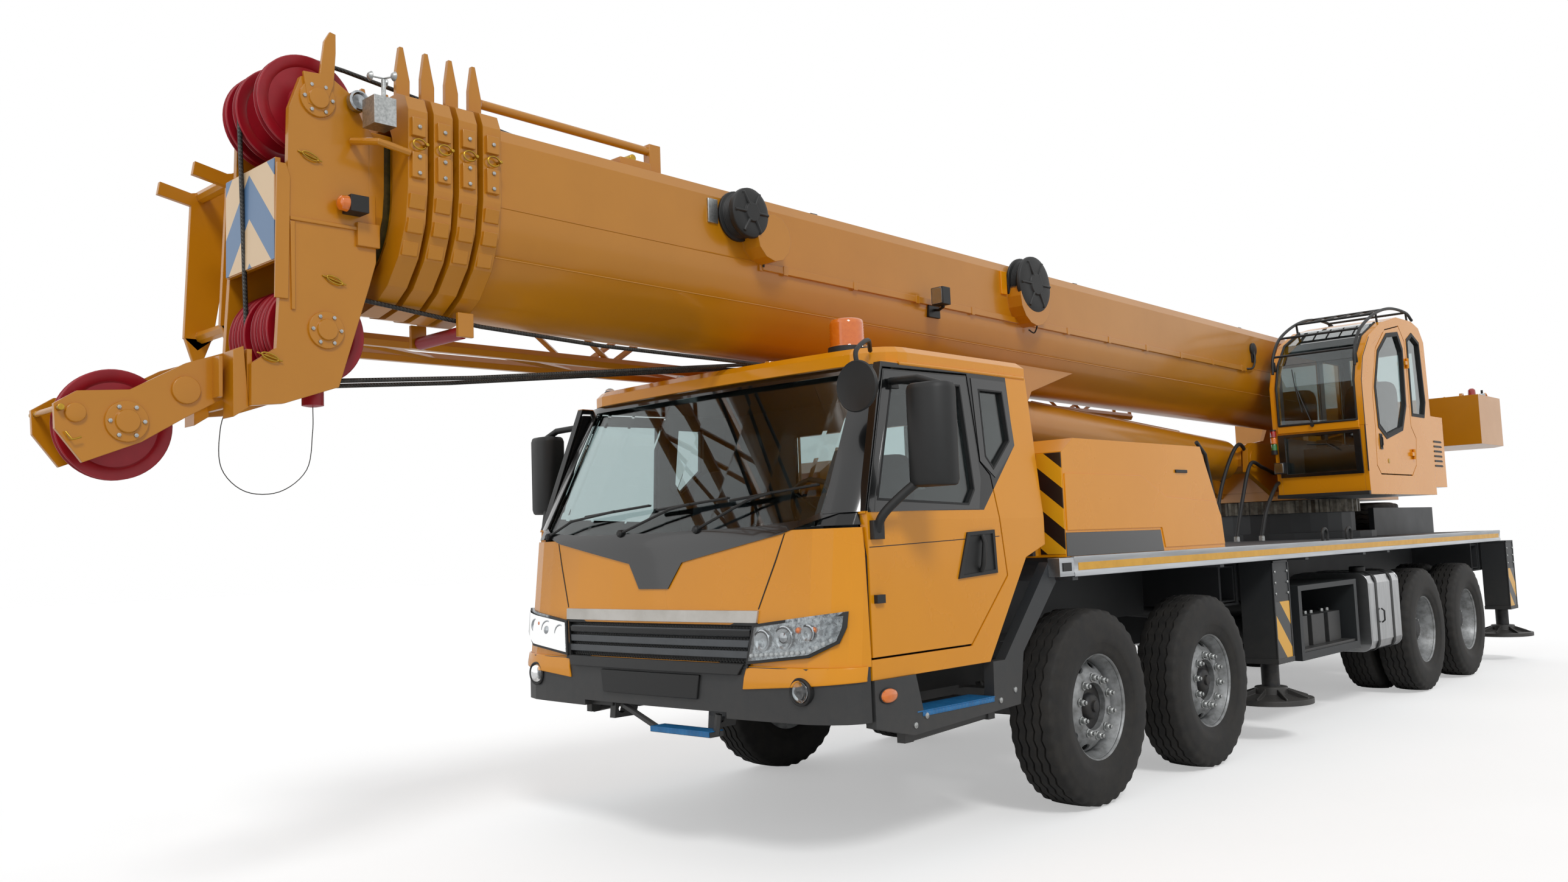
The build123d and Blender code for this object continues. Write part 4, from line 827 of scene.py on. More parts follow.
class CRANE_OT_cab_front(CraneOperator):
    """Build the cab front's black band, grille, lamps and trim"""

    bl_idname = "crane.cab_front"
    bl_label = "Cab front"

    def build(self):
        band = Piece("windscreen_band").use("gloss_black")
        band.skin(mirrored([(0, 1.345), (0.115, 1.345), (0.21, 1.479), (0.88, 1.602), (1.17, 1.69),
                            (1.262, 1.70),
                            (1.258, 1.76), (1.12, 1.715), (1.02, 1.668), (0.7, 1.645), (0, 1.638)]),
                  on_front, -0.004, 0.006, FRONT_CUTS, (1.4, 1.5, 1.56, 1.62, 1.66, 1.7))
        band.skin(mirrored([(0, 2.40), (1.05, 2.40), (1.205, 2.38), (1.205, 2.437), (0, 2.437)]),
                  on_front, -0.004, 0.006, FRONT_CUTS)
        band.done("chassis")
        posts = Piece("windscreen_posts").use("gloss_black")
        posts.skin([(1.095, 1.69), (1.284, 1.695), (1.217, 2.40), (1.045, 2.40)], on_front, 0.002, 0.008,
                   FRONT_CUTS)
        posts.both().done("chassis")
        seams = Piece("front_panel_seams").use("seal_rubber")
        seams.skin([(0.897, 1.603), (0.850, 1.48), (0.752, 1.245), (0.758, 1.243), (0.857, 1.478),
                    (0.904, 1.605)],
                   on_front, -0.002, 0.0015, FRONT_CUTS, (1.3, 1.4, 1.5))
        seams.both().done("chassis")
        grille = Piece("grille_mesh").use("moulded_black")
        grille.skin([(-0.70, 0.975), (-0.738, 1.172), (0.738, 1.172), (0.70, 0.975)], on_front, -0.024,
                    -0.020,
                    FRONT_CUTS)
        size = 0.0125
        rows = int(0.19 / (size * 1.5))
        for row in range(rows):
            z = 0.985 + size * 1.5 * row
            for column in range(-31, 32):
                x = (column + (row % 2) / 2) * size * math.sqrt(3)
                if abs(x) > 0.70:
                    continue
                outer, inner = [], []
                for corner in range(6):
                    a = math.pi / 6 + corner * math.pi / 3
                    outer.append((x + size * math.cos(a), z + size * math.sin(a)))
                    inner.append((x + size * 0.7 * math.cos(a), z + size * 0.7 * math.sin(a)))
                grille.loft([[on_front(a, b, -0.012) for a, b in outer],
                             [on_front(a, b, -0.010) for a, b in inner]],
                            caps=False)
        grille.ring([(-0.715, 0.965), (-0.755, 1.178), (0.755, 1.178), (0.715, 0.965)],
                    [(-0.695, 0.985), (-0.732, 1.165), (0.732, 1.165), (0.695, 0.985)], on_front, -0.02,
                    0.008)
        grille.done("chassis")
        slats = Piece("grille_slats").use("grille_grey")
        for z in (1.010, 1.062, 1.114):
            slats.skin([(-0.70, z - 0.002), (-0.708, z + 0.034), (0.708, z + 0.034), (0.70, z - 0.002)],
                       on_front,
                       -0.02, 0.006, FRONT_CUTS)
        slats.done("chassis", 0.003)
        bar = Piece("front_bar").use("trim_film")
        bar.skin([(-0.752, 1.178), (-0.758, 1.238), (0.758, 1.238), (0.752, 1.178)], on_front, -0.002, 0.012,
                 FRONT_CUTS)
        bar.done("chassis", 0.004)
        self.headlamps()
        corner = Piece("lower_corners").use("cab_enamel")
        corner.skin([(0.70, 0.975), (0.68, 0.862), (1.02, 0.885), (1.287, 0.906), (1.287, 0.975)], on_front,
                    -0.002, 0.010, FRONT_CUTS, (0.92,))
        corner.both().done("chassis", 0.004)
        plate = Piece("plate_panel").use("moulded_black")
        plate.skin([(-0.37, 0.80), (-0.39, 0.92), (0.39, 0.92), (0.37, 0.80)], on_front, -0.002, 0.014,
                   FRONT_CUTS)
        plate.skin([(-0.66, 0.93), (-0.69, 0.984), (0.69, 0.984), (0.66, 0.93)], on_front, -0.002, 0.022,
                   FRONT_CUTS)
        plate.done("chassis", 0.004)
        fog = Piece("fog_lamps")
        spot = on_front(1.036, 0.865, 0.0)
        fog.use("moulded_black").spin([(0.02, 0.066), (-0.012, 0.066), (-0.016, 0.060), (-0.010, 0.052),
                                       (0.0, 0.05)], spot, "y")
        fog.use("lamp_mirror").spin([(0.0, 0.05), (-0.006, 0.048), (0.0, 0.03), (0.004, 0.001)], spot, "y")
        fog.use("clear_lens").spin([(-0.010, 0.051), (-0.020, 0.044), (-0.026, 0.025), (-0.028, 0.001)],
                                   spot, "y")
        fog.both().done("chassis")

    def headlamps(self):
        lamp = Piece("headlamps")
        outline = [(0.705, 0.982), (0.737, 1.172), (0.88, 1.190), (1.235, 1.232), (1.232, 1.16),
                   (1.208, 1.088),
                   (1.08, 1.022)]
        inner = [(0.722, 0.998), (0.751, 1.160), (0.88, 1.176), (1.218, 1.214), (1.214, 1.16), (1.195, 1.098),
                 (1.074, 1.036)]
        # The headlamp's back plate, in the housing finish with painted reflections and painted shade.
        lamp.use("lamp_shell").skin(outline, on_front, -0.002, 0.010, FRONT_CUTS)
        lamp.use("moulded_black").ring(outline, inner, on_front, 0.009, 0.022)
        for x, z, radius in ((0.80, 1.098, 0.052), (0.935, 1.112, 0.058), (1.07, 1.135, 0.042)):
            spot = on_front(x, z, 0.010)
            lamp.use("lamp_mirror").spin([(0.0, radius), (-0.010, radius), (-0.011, radius - 0.006),
                                          (-0.002, radius - 0.02), (0.0, 0.001)], spot, "y", 28)
        for x, z in ((1.02, 1.148), (1.10, 1.150)):
            lamp.use("amber_lens").spin([(0.0, 0.016), (-0.012, 0.014), (-0.016, 0.001)],
                                        on_front(x, z, 0.010),
                                        "y", 16)
        lamp.use("lamp_mirror").spin([(0.0, 0.03), (-0.014, 0.026), (-0.020, 0.012), (-0.021, 0.001)],
                                     on_front(0.935, 1.112, 0.010), "y", 24)
        lamp.use("lamp_white")
        for step in range(15):
            x = 0.735 + step * 0.0315
            z = 1.010 + 0.052 * max(0.0, (x - 0.70)) / 0.38 * 0.5
            if x > 1.07:
                z = 1.036 + (x - 1.07) * 0.5
            lamp.spin([(0.0, 0.010), (-0.010, 0.009), (-0.013, 0.004)], on_front(x, z + 0.012, 0.010), "y",
                      10)
        lamp.use("clear_lens").skin(inner, on_front, 0.020, 0.024, FRONT_CUTS)
        lamp.both().done("chassis")


class CRANE_OT_cab_trim(CraneOperator):
    """Build the cab's wipers, mirrors, window seals, handles and roof lamps"""

    bl_idname = "crane.cab_trim"
    bl_label = "Cab trim"

    def build(self):
        wipers = Piece("wipers").use("moulded_black")
        for pivot, elbow, start, tip in (((-1.02, 1.648), (-0.80, 1.73), (-0.70, 1.752), (-0.14, 1.79)),
                                         ((-0.31, 1.645), (0.06, 1.76), (-0.06, 1.762), (0.46, 1.80)),
                                         ((0.30, 1.645), (0.62, 1.78), (0.48, 1.785), (1.03, 1.835))):
            middle = ((start[0] + tip[0]) / 2, (start[1] + tip[1]) / 2)
            wipers.tube([on_front(*pivot, 0.012), on_front(*elbow, 0.035), on_front(*middle, 0.028)], 0.0075,
                        6)
            wipers.tube([on_front(*start, 0.018), on_front(*middle, 0.024), on_front(*tip, 0.018)], 0.0065, 6)
            wipers.skin([(start[0], start[1] - 0.006), (tip[0], tip[1] - 0.006), (tip[0], tip[1] + 0.004),
                         (start[0], start[1] + 0.004)], on_front, 0.002, 0.012, FRONT_CUTS)
            wipers.spin([(0.01, 0.022), (-0.022, 0.020), (-0.030, 0.012)], on_front(*pivot, 0.0), "y", 16)
        wipers.done("chassis")
        self.doors()
        self.mirrors()
        self.roof()

    def doors(self):
        glass = [(-1.860, 1.745), (-1.640, 2.350), (-1.055, 2.360), (-1.040, 1.800), (-1.110, 1.720)]
        frame_line = [(-1.936, 1.690), (-1.690, 2.392), (-0.998, 2.406), (-0.972, 1.86), (-1.02, 1.70)]
        seal = [(-1.846, 1.757), (-1.632, 2.340), (-1.065, 2.350), (-1.050, 1.806), (-1.116, 1.731)]
        for side, sign in SIDES.items():
            trim = Piece(f"door_trim_{side}")
            trim.use("gloss_black").ring(frame_line, glass, on_side, -0.002, 0.0035)
            trim.use("seal_rubber").ring(glass, seal, on_side, -0.022, 0.005)
            trim.use("moulded_black")
            trim.ring([(-1.243, 1.345), (-1.150, 1.580), (-0.905, 1.590), (-0.893, 1.362)],
                      [(-1.205, 1.362), (-1.130, 1.562), (-0.925, 1.570), (-0.913, 1.380)], on_side, -0.002,
                      0.010)
            trim.skin([(-1.205, 1.362), (-1.130, 1.562), (-0.925, 1.570), (-0.913, 1.380)], on_side, 0.0,
                      0.0025)
            trim.tube([(1.300, -1.045, 1.375), (1.318, -1.05, 1.41), (1.318, -1.03, 1.52),
                       (1.300, -1.02, 1.56)],
                      0.013, 8)
            trim.use("seal_rubber").skin([(-1.938, 1.522), (-1.938, 1.526), (-0.85, 1.556), (-0.85, 1.552)],
                                         on_side, -0.001, 0.0008)
            trim.use("moulded_black").box((1.285, 1.312), (-1.92, -1.86), (1.26, 1.30))
            if sign < 0:
                trim.flipped()
            trim.done(f"door_{side}")
        fixed = Piece("cab_side_trim")
        pane = [(-0.905, 1.980), (-0.890, 2.350), (-0.660, 2.350), (-0.650, 2.070), (-0.840, 1.910)]
        fixed.use("gloss_black").ring([(-0.955, 1.955), (-0.945, 2.405), (-0.620, 2.405), (-0.605, 2.05),
                                       (-0.830, 1.868)], pane, on_side, -0.002, 0.0035)
        fixed.use("seal_rubber").ring(pane, [(-0.895, 1.983), (-0.881, 2.341), (-0.669, 2.341),
                                             (-0.660, 2.074),
                                             (-0.838, 1.925)], on_side, -0.022, 0.005)
        fixed.both().done("chassis")

    def mirrors(self):
        for side, sign in SIDES.items():
            mirror = Piece(f"rear_mirror_{side}").use("moulded_black")
            rings = []
            for z, grow in ((1.800, -0.030), (1.806, -0.012), (1.83, 0.0), (2.26, 0.0), (2.282, -0.012),
                            (2.290, -0.030)):
                outline = [(1.412, -1.735), (1.420, -1.775), (1.450, -1.806), (1.500, -1.813),
                           (1.580, -1.800),
                           (1.620, -1.768), (1.636, -1.725), (1.638, -1.680), (1.622, -1.653),
                           (1.430, -1.653),
                           (1.413, -1.670)]
                rings.append([(x + (1.525 - x) * -grow * 4, y + (-1.73 - y) * -grow * 8, z) for x,
                              y in outline])
            mirror.loft(rings)
            mirror.tube(bend([(1.300, -1.89, 1.60), (1.34, -1.88, 1.68), (1.43, -1.80, 1.79),
                              (1.50, -1.74, 1.85)]),
                        0.022, 10)
            mirror.tube([(1.24, -1.66, 2.335), (1.44, -1.70, 2.325), (1.60, -1.70, 2.27)], 0.020, 10)
            mirror.box((1.288, 1.316), (-1.930, -1.850), (1.560, 1.650))
            mirror.box((1.226, 1.252), (-1.670, -1.610), (2.300, 2.350))
            mirror.use("mirror_glass").box((1.435, 1.612), (-1.652, -1.648), (1.985, 2.262))
            mirror.box((1.435, 1.612), (-1.652, -1.648), (1.832, 1.965))
            if sign < 0:
                mirror.flipped()
            mirror.done(f"door_{side}", 0.003, (f"mirror_{side}",), "black_plastic")
        kerb = Piece("front_mirror").use("moulded_black")
        spot = Vector((1.285, -1.97, 2.285))
        kerb.spin([(0.03, 0.02), (0.026, 0.08), (0.012, 0.118), (-0.006, 0.125), (-0.014, 0.119),
                   (-0.010, 0.112)],
                  spot, "y", 36)
        kerb.tube(bend([(1.285, -1.965, 2.38), (1.27, -1.95, 2.46), (1.22, -1.80, 2.53),
                        (1.12, -1.66, 2.505)]),
                  0.012, 8)
        kerb.use("mirror_glass").spin([(-0.004, 0.111), (-0.008, 0.085), (-0.0095, 0.001)], spot, "y", 36)
        kerb.done("chassis")

    def roof(self):
        lamps = Piece("roof_lamps")
        lamps.use("moulded_black").spin([(0.0, 0.105), (0.045, 0.103), (0.048, 0.09)], (0.82, -1.48, 2.53),
                                        "z", 28)
        lamps.use("amber_lens")
        profile = [(0.046, 0.094)]
        for rib in range(9):
            profile += [(0.050 + rib * 0.0145, 0.0925), (0.057 + rib * 0.0145, 0.0905)]
        profile += [(0.186, 0.088), (0.193, 0.080), (0.197, 0.05), (0.198, 0.001)]
        lamps.spin(profile, (0.82, -1.48, 2.53), "z", 40)
        for x in (-1.02, -0.36, 0.36, 1.02):
            spot = (x, -1.60, 2.530)
            lamps.use("moulded_black").spin([(0.0, 0.034), (0.006, 0.034), (0.008, 0.03)], spot, "z", 20)
            lamps.use("clear_lens").spin([(0.006, 0.030), (0.020, 0.026), (0.028, 0.014), (0.030, 0.001)],
                                         spot,
                                         "z", 20)
        lamps.done("chassis")
        gutter = Piece("roof_gutter").use("cab_enamel")
        gutter.tube([(1.213, -1.56, 2.437), (1.215, -1.2, 2.440), (1.215, -0.42, 2.440)], 0.010, 8)
        gutter.both().done("chassis")


def pad(name, width, length, thick, place, body):
    """A stuffed seat pad: sides drawn in, top crowned; place puts (across, along, up) in space."""
    made = Piece(name).use("seat_cloth")
    rings = []
    for level, grow in ((0.0, 0.90), (0.10, 0.97), (0.34, 1.0), (0.66, 0.99), (0.86, 0.95), (0.95, 0.88),
                        (0.99, 0.74), (1.0, 0.5), (1.0, 0.2)):
        ring = []
        for step in range(48):
            a = 2 * math.pi * step / 48
            u, v = math.cos(a), math.sin(a)
            k = (abs(u) ** 5 + abs(v) ** 5) ** -0.2 * grow
            crown = 0.016 * (1 - (u * k) ** 2) * (1 - (v * k) ** 2) if level > 0.8 else 0.0
            ring.append(place(width / 2 * u * k, length / 2 * v * k,
                              thick * level + crown - 0.016 * (level > 0.8)))
        rings.append(ring)
    made = made.loft(rings).done(body)
    return made


def seat(name, x, y, z, body):
    """A driver's seat: padded cushion, leaning padded back and a black pedestal."""
    pad(f"{name}_cushion", 0.50, 0.48, 0.14, lambda a, b, c: (x + a, y - 0.02 + b, z + 0.26 + c), body)
    pad(f"{name}_back", 0.48, 0.66, 0.09,
        lambda a, b, c: (x + a, y + 0.255 + 0.147 * b - c * 0.989, z + 0.725 + 0.989 * b - c * 0.147), body)
    base = Piece(f"{name}_base").use("moulded_black")
    base.box((x - 0.17, x + 0.17), (y - 0.17, y + 0.17), (z + 0.002, z + 0.05))
    base.box((x - 0.12, x + 0.12), (y - 0.12, y + 0.12), (z + 0.05, z + 0.22))
    base.box((x - 0.20, x + 0.20), (y - 0.20, y + 0.20), (z + 0.22, z + 0.262))
    return base


class CRANE_OT_interiors(CraneOperator):
    """Furnish both cabs: seats, dashboard, steering wheel and console"""

    bl_idname = "crane.interiors"
    bl_label = "Interiors"

    def build(self):
        seat("driver_seat", 0.62, -1.27, 0.985, "chassis").done("chassis", 0.01)
        seat("mate_seat", -0.64, -1.27, 0.985, "chassis").done("chassis", 0.01)
        seat("operator_seat", 0.90, 6.05, 1.871, "turret").done("turret", 0.01)
        dash = Piece("dashboard").use("moulded_black")
        dash.prism([(-1.935, 1.35), (-1.935, 1.575), (-1.86, 1.598), (-1.76, 1.59), (-1.71, 1.52),
                    (-1.72, 1.38)],
                   "x", -0.98, 0.98)
        dash.prism([(-1.80, 1.585), (-1.79, 1.66), (-1.73, 1.665), (-1.705, 1.57)], "x", 0.36, 0.88)
        dash.box((-0.35, 0.35), (-1.94, -1.06), (0.988, 1.12))
        dash.box((-0.16, 0.16), (-1.74, -1.70), (1.40, 1.56))
        dash.tube([(0.62, -1.80, 1.50), (0.62, -1.48, 1.69)], 0.035, 12)
        rim = []
        for step in range(33):
            a = 2 * math.pi * step / 32
            rim.append((0.62 + 0.218 * math.cos(a), -1.47 - 0.111 * math.sin(a), 1.695 + 0.188 * math.sin(a)))
        dash.tube(rim, 0.015, 10)
        for step in (4, 12, 24):
            dash.tube([(0.62, -1.47, 1.69), rim[step]], 0.012, 8)
        dash.done("chassis", 0.008, ("cab_interior",), "dark_paint")
        console = Piece("operator_console").use("moulded_black")
        console.prism([(5.15, 1.871), (5.15, 2.25), (5.24, 2.25), (5.35, 2.12), (5.35, 1.871)], "x", 0.65,
                      1.15)
        for x in (0.60, 1.20):
            console.box((x - 0.05, x + 0.05), (5.75, 6.15), (2.28, 2.36))
            console.tube([(x, 5.80, 2.36), (x, 5.77, 2.50)], 0.016, 10)
        console.done("turret", 0.008, ("opcab_interior",), "dark_paint")


class CRANE_OT_steps(CraneOperator):
    """Build the step treads and side lamps"""

    bl_idname = "crane.steps"
    bl_label = "Steps and skirts"

    def build(self):
        tread = Piece("step_treads").use("step_tread")
        tread.box((1.13, 1.302), (-1.640, -0.980), (0.7215, 0.728))
        tread.box((1.298, 1.304), (-1.600, -0.990), (0.700, 0.722))
        tread.both()
        tread.box((0.035, 0.475), (-2.244, -2.146), (0.644, 0.650))
        tread.box((0.035, 0.475), (-2.246, -2.240), (0.622, 0.650))
        tread.done("chassis", 0.002)
        marker = Piece("side_markers")
        for y, z in ((-1.858, 0.828),):
            turns = [2 * math.pi * step / 28 for step in range(28)]
            for finish, levels in (("moulded_black", ((1.299, 1.1), (1.305, 1.1), (1.306, 1.0))),
                                   ("amber_lens", ((1.303, 1.0), (1.313, 0.92), (1.319, 0.7), (1.321, 0.1)))):
                marker.use(finish).loft([[(x, y + 0.060 * grow * math.cos(a), z + 0.034 * grow * math.sin(a))
                                          for a in turns] for x, grow in levels])
        marker.use("galvanised")
        for y, z in ((-1.66, 0.665), (-0.79, 0.74), (-1.57, 0.70), (-0.93, 0.70)):
            marker.spin([(0.0, 0.016), (0.006, 0.015), (0.009, 0.008)], (1.299, y, z), steps=12)
        marker.both().done("chassis")


class CRANE_OT_deck(CraneOperator):
    """Build the deck's aluminium edging, reflective strip, hoops, covers' panels and ladder"""

    bl_idname = "crane.deck"
    bl_label = "Deck and covers"

    def build(self):
        edge = Piece("deck_edging").use("anodised_aluminium")
        edge.prism([(1.356, 1.4245), (1.379, 1.4245), (1.3795, 1.402), (1.376, 1.396), (1.376, 1.340),
                    (1.3795, 1.334), (1.379, 1.312), (1.372, 1.312), (1.372, 1.421), (1.356, 1.421)],
                   "y", -0.245, 8.549)
        edge.box((1.30, 1.376), (-0.40, -0.245), (1.316, 1.420))
        edge.use("moulded_black").box((1.372, 1.381), (-0.37, -0.28), (1.345, 1.392))
        edge.use("edge_film").box((1.374, 1.3785), (-0.20, 8.49), (1.346, 1.389))
        edge.both().done("chassis", 0.0015)
        cover = Piece("cover_panels").use("cab_enamel")

        def on_cover(y, z, out):
            return (1.355 + out, y, z)

        cover.skin([(-0.27, 1.572), (-0.27, 1.895), (0.63, 1.895), (0.95, 1.765), (1.66, 1.735),
                    (1.735, 1.64),
                    (1.768, 1.446), (0.905, 1.446), (0.868, 1.572)], on_cover, -0.004, 0.006)
        cover.use("gloss_black").skin([(-0.283, 1.426), (-0.283, 1.560), (0.852, 1.558), (0.885, 1.426)],
                                      on_cover,
                                      -0.002, 0.003)
        cover.use("cover_film").box((1.190, 1.352), (-0.2885, -0.284), (1.440, 2.015))
        cover.use("moulded_black").box((1.355, 1.365), (1.10, 1.26), (1.92, 1.94))
        for y in (0.2, 0.9, 1.3):
            cover.box((0.90, 1.10), (y, y + 0.012), (2.100, 2.112))
        cover.both().done("chassis", 0.004)
        ladder = Piece("deck_ladder").use("moulded_black")
        for x in (1.02, 1.28):
            ladder.tube([(x, 1.80, 1.425), (x, 1.83, 1.70), (x, 1.72, 2.06), (x, 1.60, 2.14)], 0.014, 8)
        for y, z in ((1.815, 1.56), (1.83, 1.72), (1.785, 1.88)):
            ladder.tube([(1.02, y, z), (1.28, y, z)], 0.012, 8)
        for y in (3.62, 4.15):
            ladder.tube(bend([(1.33, y, 1.42), (1.33, y, 1.49), (1.33, y + 0.05, 1.52),
                              (1.33, y + 0.10, 1.49),
                              (1.33, y + 0.10, 1.42)]), 0.012, 8)
        ladder.both().done("chassis")


class CRANE_OT_undercarriage(CraneOperator):
    """Build the outriggers' stripes and feet, tank straps, hoses, shafts and rear lamps"""

    bl_idname = "crane.undercarriage"
    bl_label = "Outriggers and underbody"

    def build(self):
        for end in ("front", "rear"):
            for side, sign in SIDES.items():
                low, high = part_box(f"beam_{end}_{side}")
                y0, y1 = low.y - FIRST_AXLE_Y, high.y - FIRST_AXLE_Y
                outer = 1.325
                film = Piece(f"outrigger_trim_{end}_{side}").use("hazard_film")
                film.box((outer - 0.001, outer + 0.002), (y0 + 0.012, y1 - 0.012), (0.575, 1.0))
                film.use("frame_paint")
                film.box((outer - 0.004, outer + 0.006), (y0 - 0.006, y0 + 0.010), (0.556, 1.301))
                film.box((outer - 0.004, outer + 0.006), (y1 - 0.010, y1 + 0.006), (0.556, 1.301))
                film.box((1.075, outer + 0.006), (y0 - 0.006, y1 + 0.006), (1.285, 1.303))
                film.box((1.072, outer + 0.008), (y0 - 0.010, y1 + 0.010), (0.553, 0.590))
                film.use("galvanised")
                for y in (y0 + 0.03, y1 - 0.03):
                    for z in (1.06, 1.14, 1.22):
                        film.spin([(0.0, 0.011), (0.008, 0.011), (0.010, 0.007)], (outer, y, z), steps=6)
                if sign < 0:
                    film.flipped()
                film.done(f"beam_{end}_{side}", 0.002)
                low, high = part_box(f"jack_{end}_{side}")
                middle = (low.y + high.y) / 2 - FIRST_AXLE_Y
                foot = Piece(f"outrigger_foot_{end}_{side}").use("cast_iron")
                foot.spin([(0.37, 0.0635), (0.552, 0.0635), (0.5525, 0.06)], (1.2, middle, 0), "z", 32)
                foot.use("frame_paint")
                foot.spin([(0.2625, 0.285), (0.2625, 0.292), (0.300, 0.292), (0.302, 0.284), (0.306, 0.20),
                           (0.33, 0.12), (0.378, 0.115), (0.382, 0.09), (0.382, 0.064)], (1.2, middle, 0),
                           "z", 48)
                for rib in range(8):
                    a = math.pi * rib / 4
                    near, far = 0.10, 0.27
                    ca, sa = math.cos(a), math.sin(a)
                    side_way = Vector((-sa, ca, 0)) * 0.006
                    spots = [Vector((1.2 + near * ca, middle + near * sa, 0.302)),
                             Vector((1.2 + far * ca, middle + far * sa, 0.302)),
                             Vector((1.2 + far * ca, middle + far * sa, 0.312)),
                             Vector((1.2 + near * ca, middle + near * sa, 0.372))]
                    foot.loft([[s - side_way for s in spots], [s + side_way for s in spots]])
                if sign < 0:
                    foot.flipped()
                foot.done(f"jack_{end}_{side}", 0.002)
        self.tanks()
        self.hoses()
        self.rear()

    def tanks(self):
        straps = Piece("tank_straps").use("moulded_black")
        near, far, low, high, corner = 0.636, 1.319, 0.461, 1.134, 0.085
        outline = []
        for cx, cz, start in ((far - corner, low + corner, -90), (far - corner, high - corner, 0),
                              (near + corner, high - corner, 90), (near + corner, low + corner, 180)):
            for step in range(5):
                a = math.radians(start + 22.5 * step)
                outline.append((cx + corner * math.cos(a), cz + corner * math.sin(a)))
        for y in (4.78, 5.17):
            straps.prism(outline, "y", y - 0.025, y + 0.025)
        straps.use("brushed_stainless")
        inset = [(x * 0.985 + 0.0147, z * 0.985 + 0.012) for x, z in outline]
        for y in (4.612, 5.368):
            straps.prism(inset, "y", y - 0.006, y + 0.006)
        straps.use("moulded_black").spin([(1.13, 0.066), (1.168, 0.066), (1.176, 0.058), (1.178, 0.02)],
                                         (1.10, 4.99, 0), "z", 24)
        straps.tube([(1.321, 4.86, 0.70), (1.345, 4.86, 0.72), (1.345, 4.86, 0.80), (1.321, 4.86, 0.82)],
                    0.008, 6)
        straps.use("frame_paint")
        straps.box((0.70, 1.255), (3.26, 4.39), (0.575, 0.60))
        for y in (3.45, 3.80, 4.15):
            straps.box((0.80, 1.18), (y - 0.13, y + 0.13), (0.60, 0.84))
        straps.use("galvanised")
        for y in (3.45, 3.80, 4.15):
            straps.spin([(0.84, 0.018), (0.865, 0.018), (0.868, 0.01)], (1.10, y - 0.06, 0), "z", 10)
            straps.spin([(0.84, 0.018), (0.865, 0.018), (0.868, 0.01)], (1.10, y + 0.06, 0), "z", 10)
        straps.both().done("chassis", 0.003)
        air = Piece("air_receivers").use("frame_paint")
        for y, z in ((2.99, 0.98), (2.99, 0.76)):
            air.spin([(0.0, 0.02), (0.03, 0.085), (0.07, 0.105), (0.48, 0.105), (0.52, 0.085), (0.55, 0.02)],
                     (0.62, y + 0.06, z), steps=28)
        air.use("moulded_black")
        for x in (0.75, 1.03):
            air.spin([(0.0, 0.108), (0.03, 0.108)], (x, 3.05, 0.98), steps=28)
        air.both().done("chassis")

    def hoses(self):
        pipes = Piece("hoses").use("seal_rubber")
        routes = [[(0.22, 4.10, 1.46), (0.24, 4.30, 1.95), (0.26, 4.62, 2.30), (0.24, 4.90, 2.20),
                   (0.20, 5.30, 1.95)],
                  [(0.36, 4.25, 1.46), (0.37, 4.40, 1.80), (0.37, 4.62, 2.12), (0.34, 4.95, 2.10),
                   (0.30, 5.33, 2.05)],
                  [(0.52, 4.40, 1.46), (0.53, 4.52, 1.70), (0.52, 4.80, 1.92), (0.46, 5.10, 1.95),
                   (0.40, 5.34, 1.96)],
                  [(-0.30, 4.20, 1.46), (-0.31, 4.40, 1.90), (-0.31, 4.66, 2.18), (-0.28, 5.00, 2.10),
                   (-0.24, 5.34, 2.02)]]
        for route in routes:
            pipes.tube(bend(route, 8), 0.017, 10)
        for x, y in ((1.02, 2.05), (1.12, 2.12), (-1.02, 2.05)):
            pipes.tube(bend([(x, 1.80, 1.55), (x, 1.95, 1.70), (x, y + 0.1, 1.60), (x, y + 0.12, 1.44)], 8),
                       0.014, 8)
        pipes.use("galvanised")
        for x, y in ((0.22, 4.10), (0.36, 4.25), (0.52, 4.40), (-0.30, 4.20)):
            pipes.spin([(1.43, 0.026), (1.47, 0.026), (1.475, 0.020)], (x, y, 0), "z", 6)
        pipes.done("chassis")
        shafts = Piece("propeller_shafts").use("frame_paint")
        for start, end in (((0, 1.92, 1.02), (0, 5.80, 0.62)), ((0, 6.18, 0.58), (0, 7.16, 0.58))):
            shafts.tube([start, end], 0.052, 16)
        for y, z in ((1.96, 1.016), (5.76, 0.624), (6.24, 0.58), (7.10, 0.58)):
            shafts.spin([(-0.04, 0.075), (0.04, 0.075), (0.042, 0.06)], (0, y, z), "y", 20)
        shafts.done("chassis")

    def rear(self):
        tail = Piece("rear_lamps")
        for x, finish in ((0.72, "red_lens"), (0.82, "amber_lens"), (0.92, "red_lens")):
            tail.use(finish).box((x, x + 0.095), (9.279, 9.292), (1.070, 1.160))
        tail.use("moulded_black").box((0.692, 1.038), (9.234, 9.284), (1.052, 1.178))
        tail.use("hazard_film").box((0.30, 1.04), (9.2355, 9.2385), (1.19, 1.28))
        tail.both().done("chassis", 0.003)


BOOM_PIVOT = Vector((0, 7.65, 3.02))
BOOM_TILT = math.radians(0.75)


def on_boom(x, along, up):
    """A point by its distance forward of the boom's foot pin and above the pin's line."""
    ca, sa = math.cos(BOOM_TILT), math.sin(BOOM_TILT)
    return (x, BOOM_PIVOT.y - along * ca + up * sa, BOOM_PIVOT.z + along * sa + up * ca)


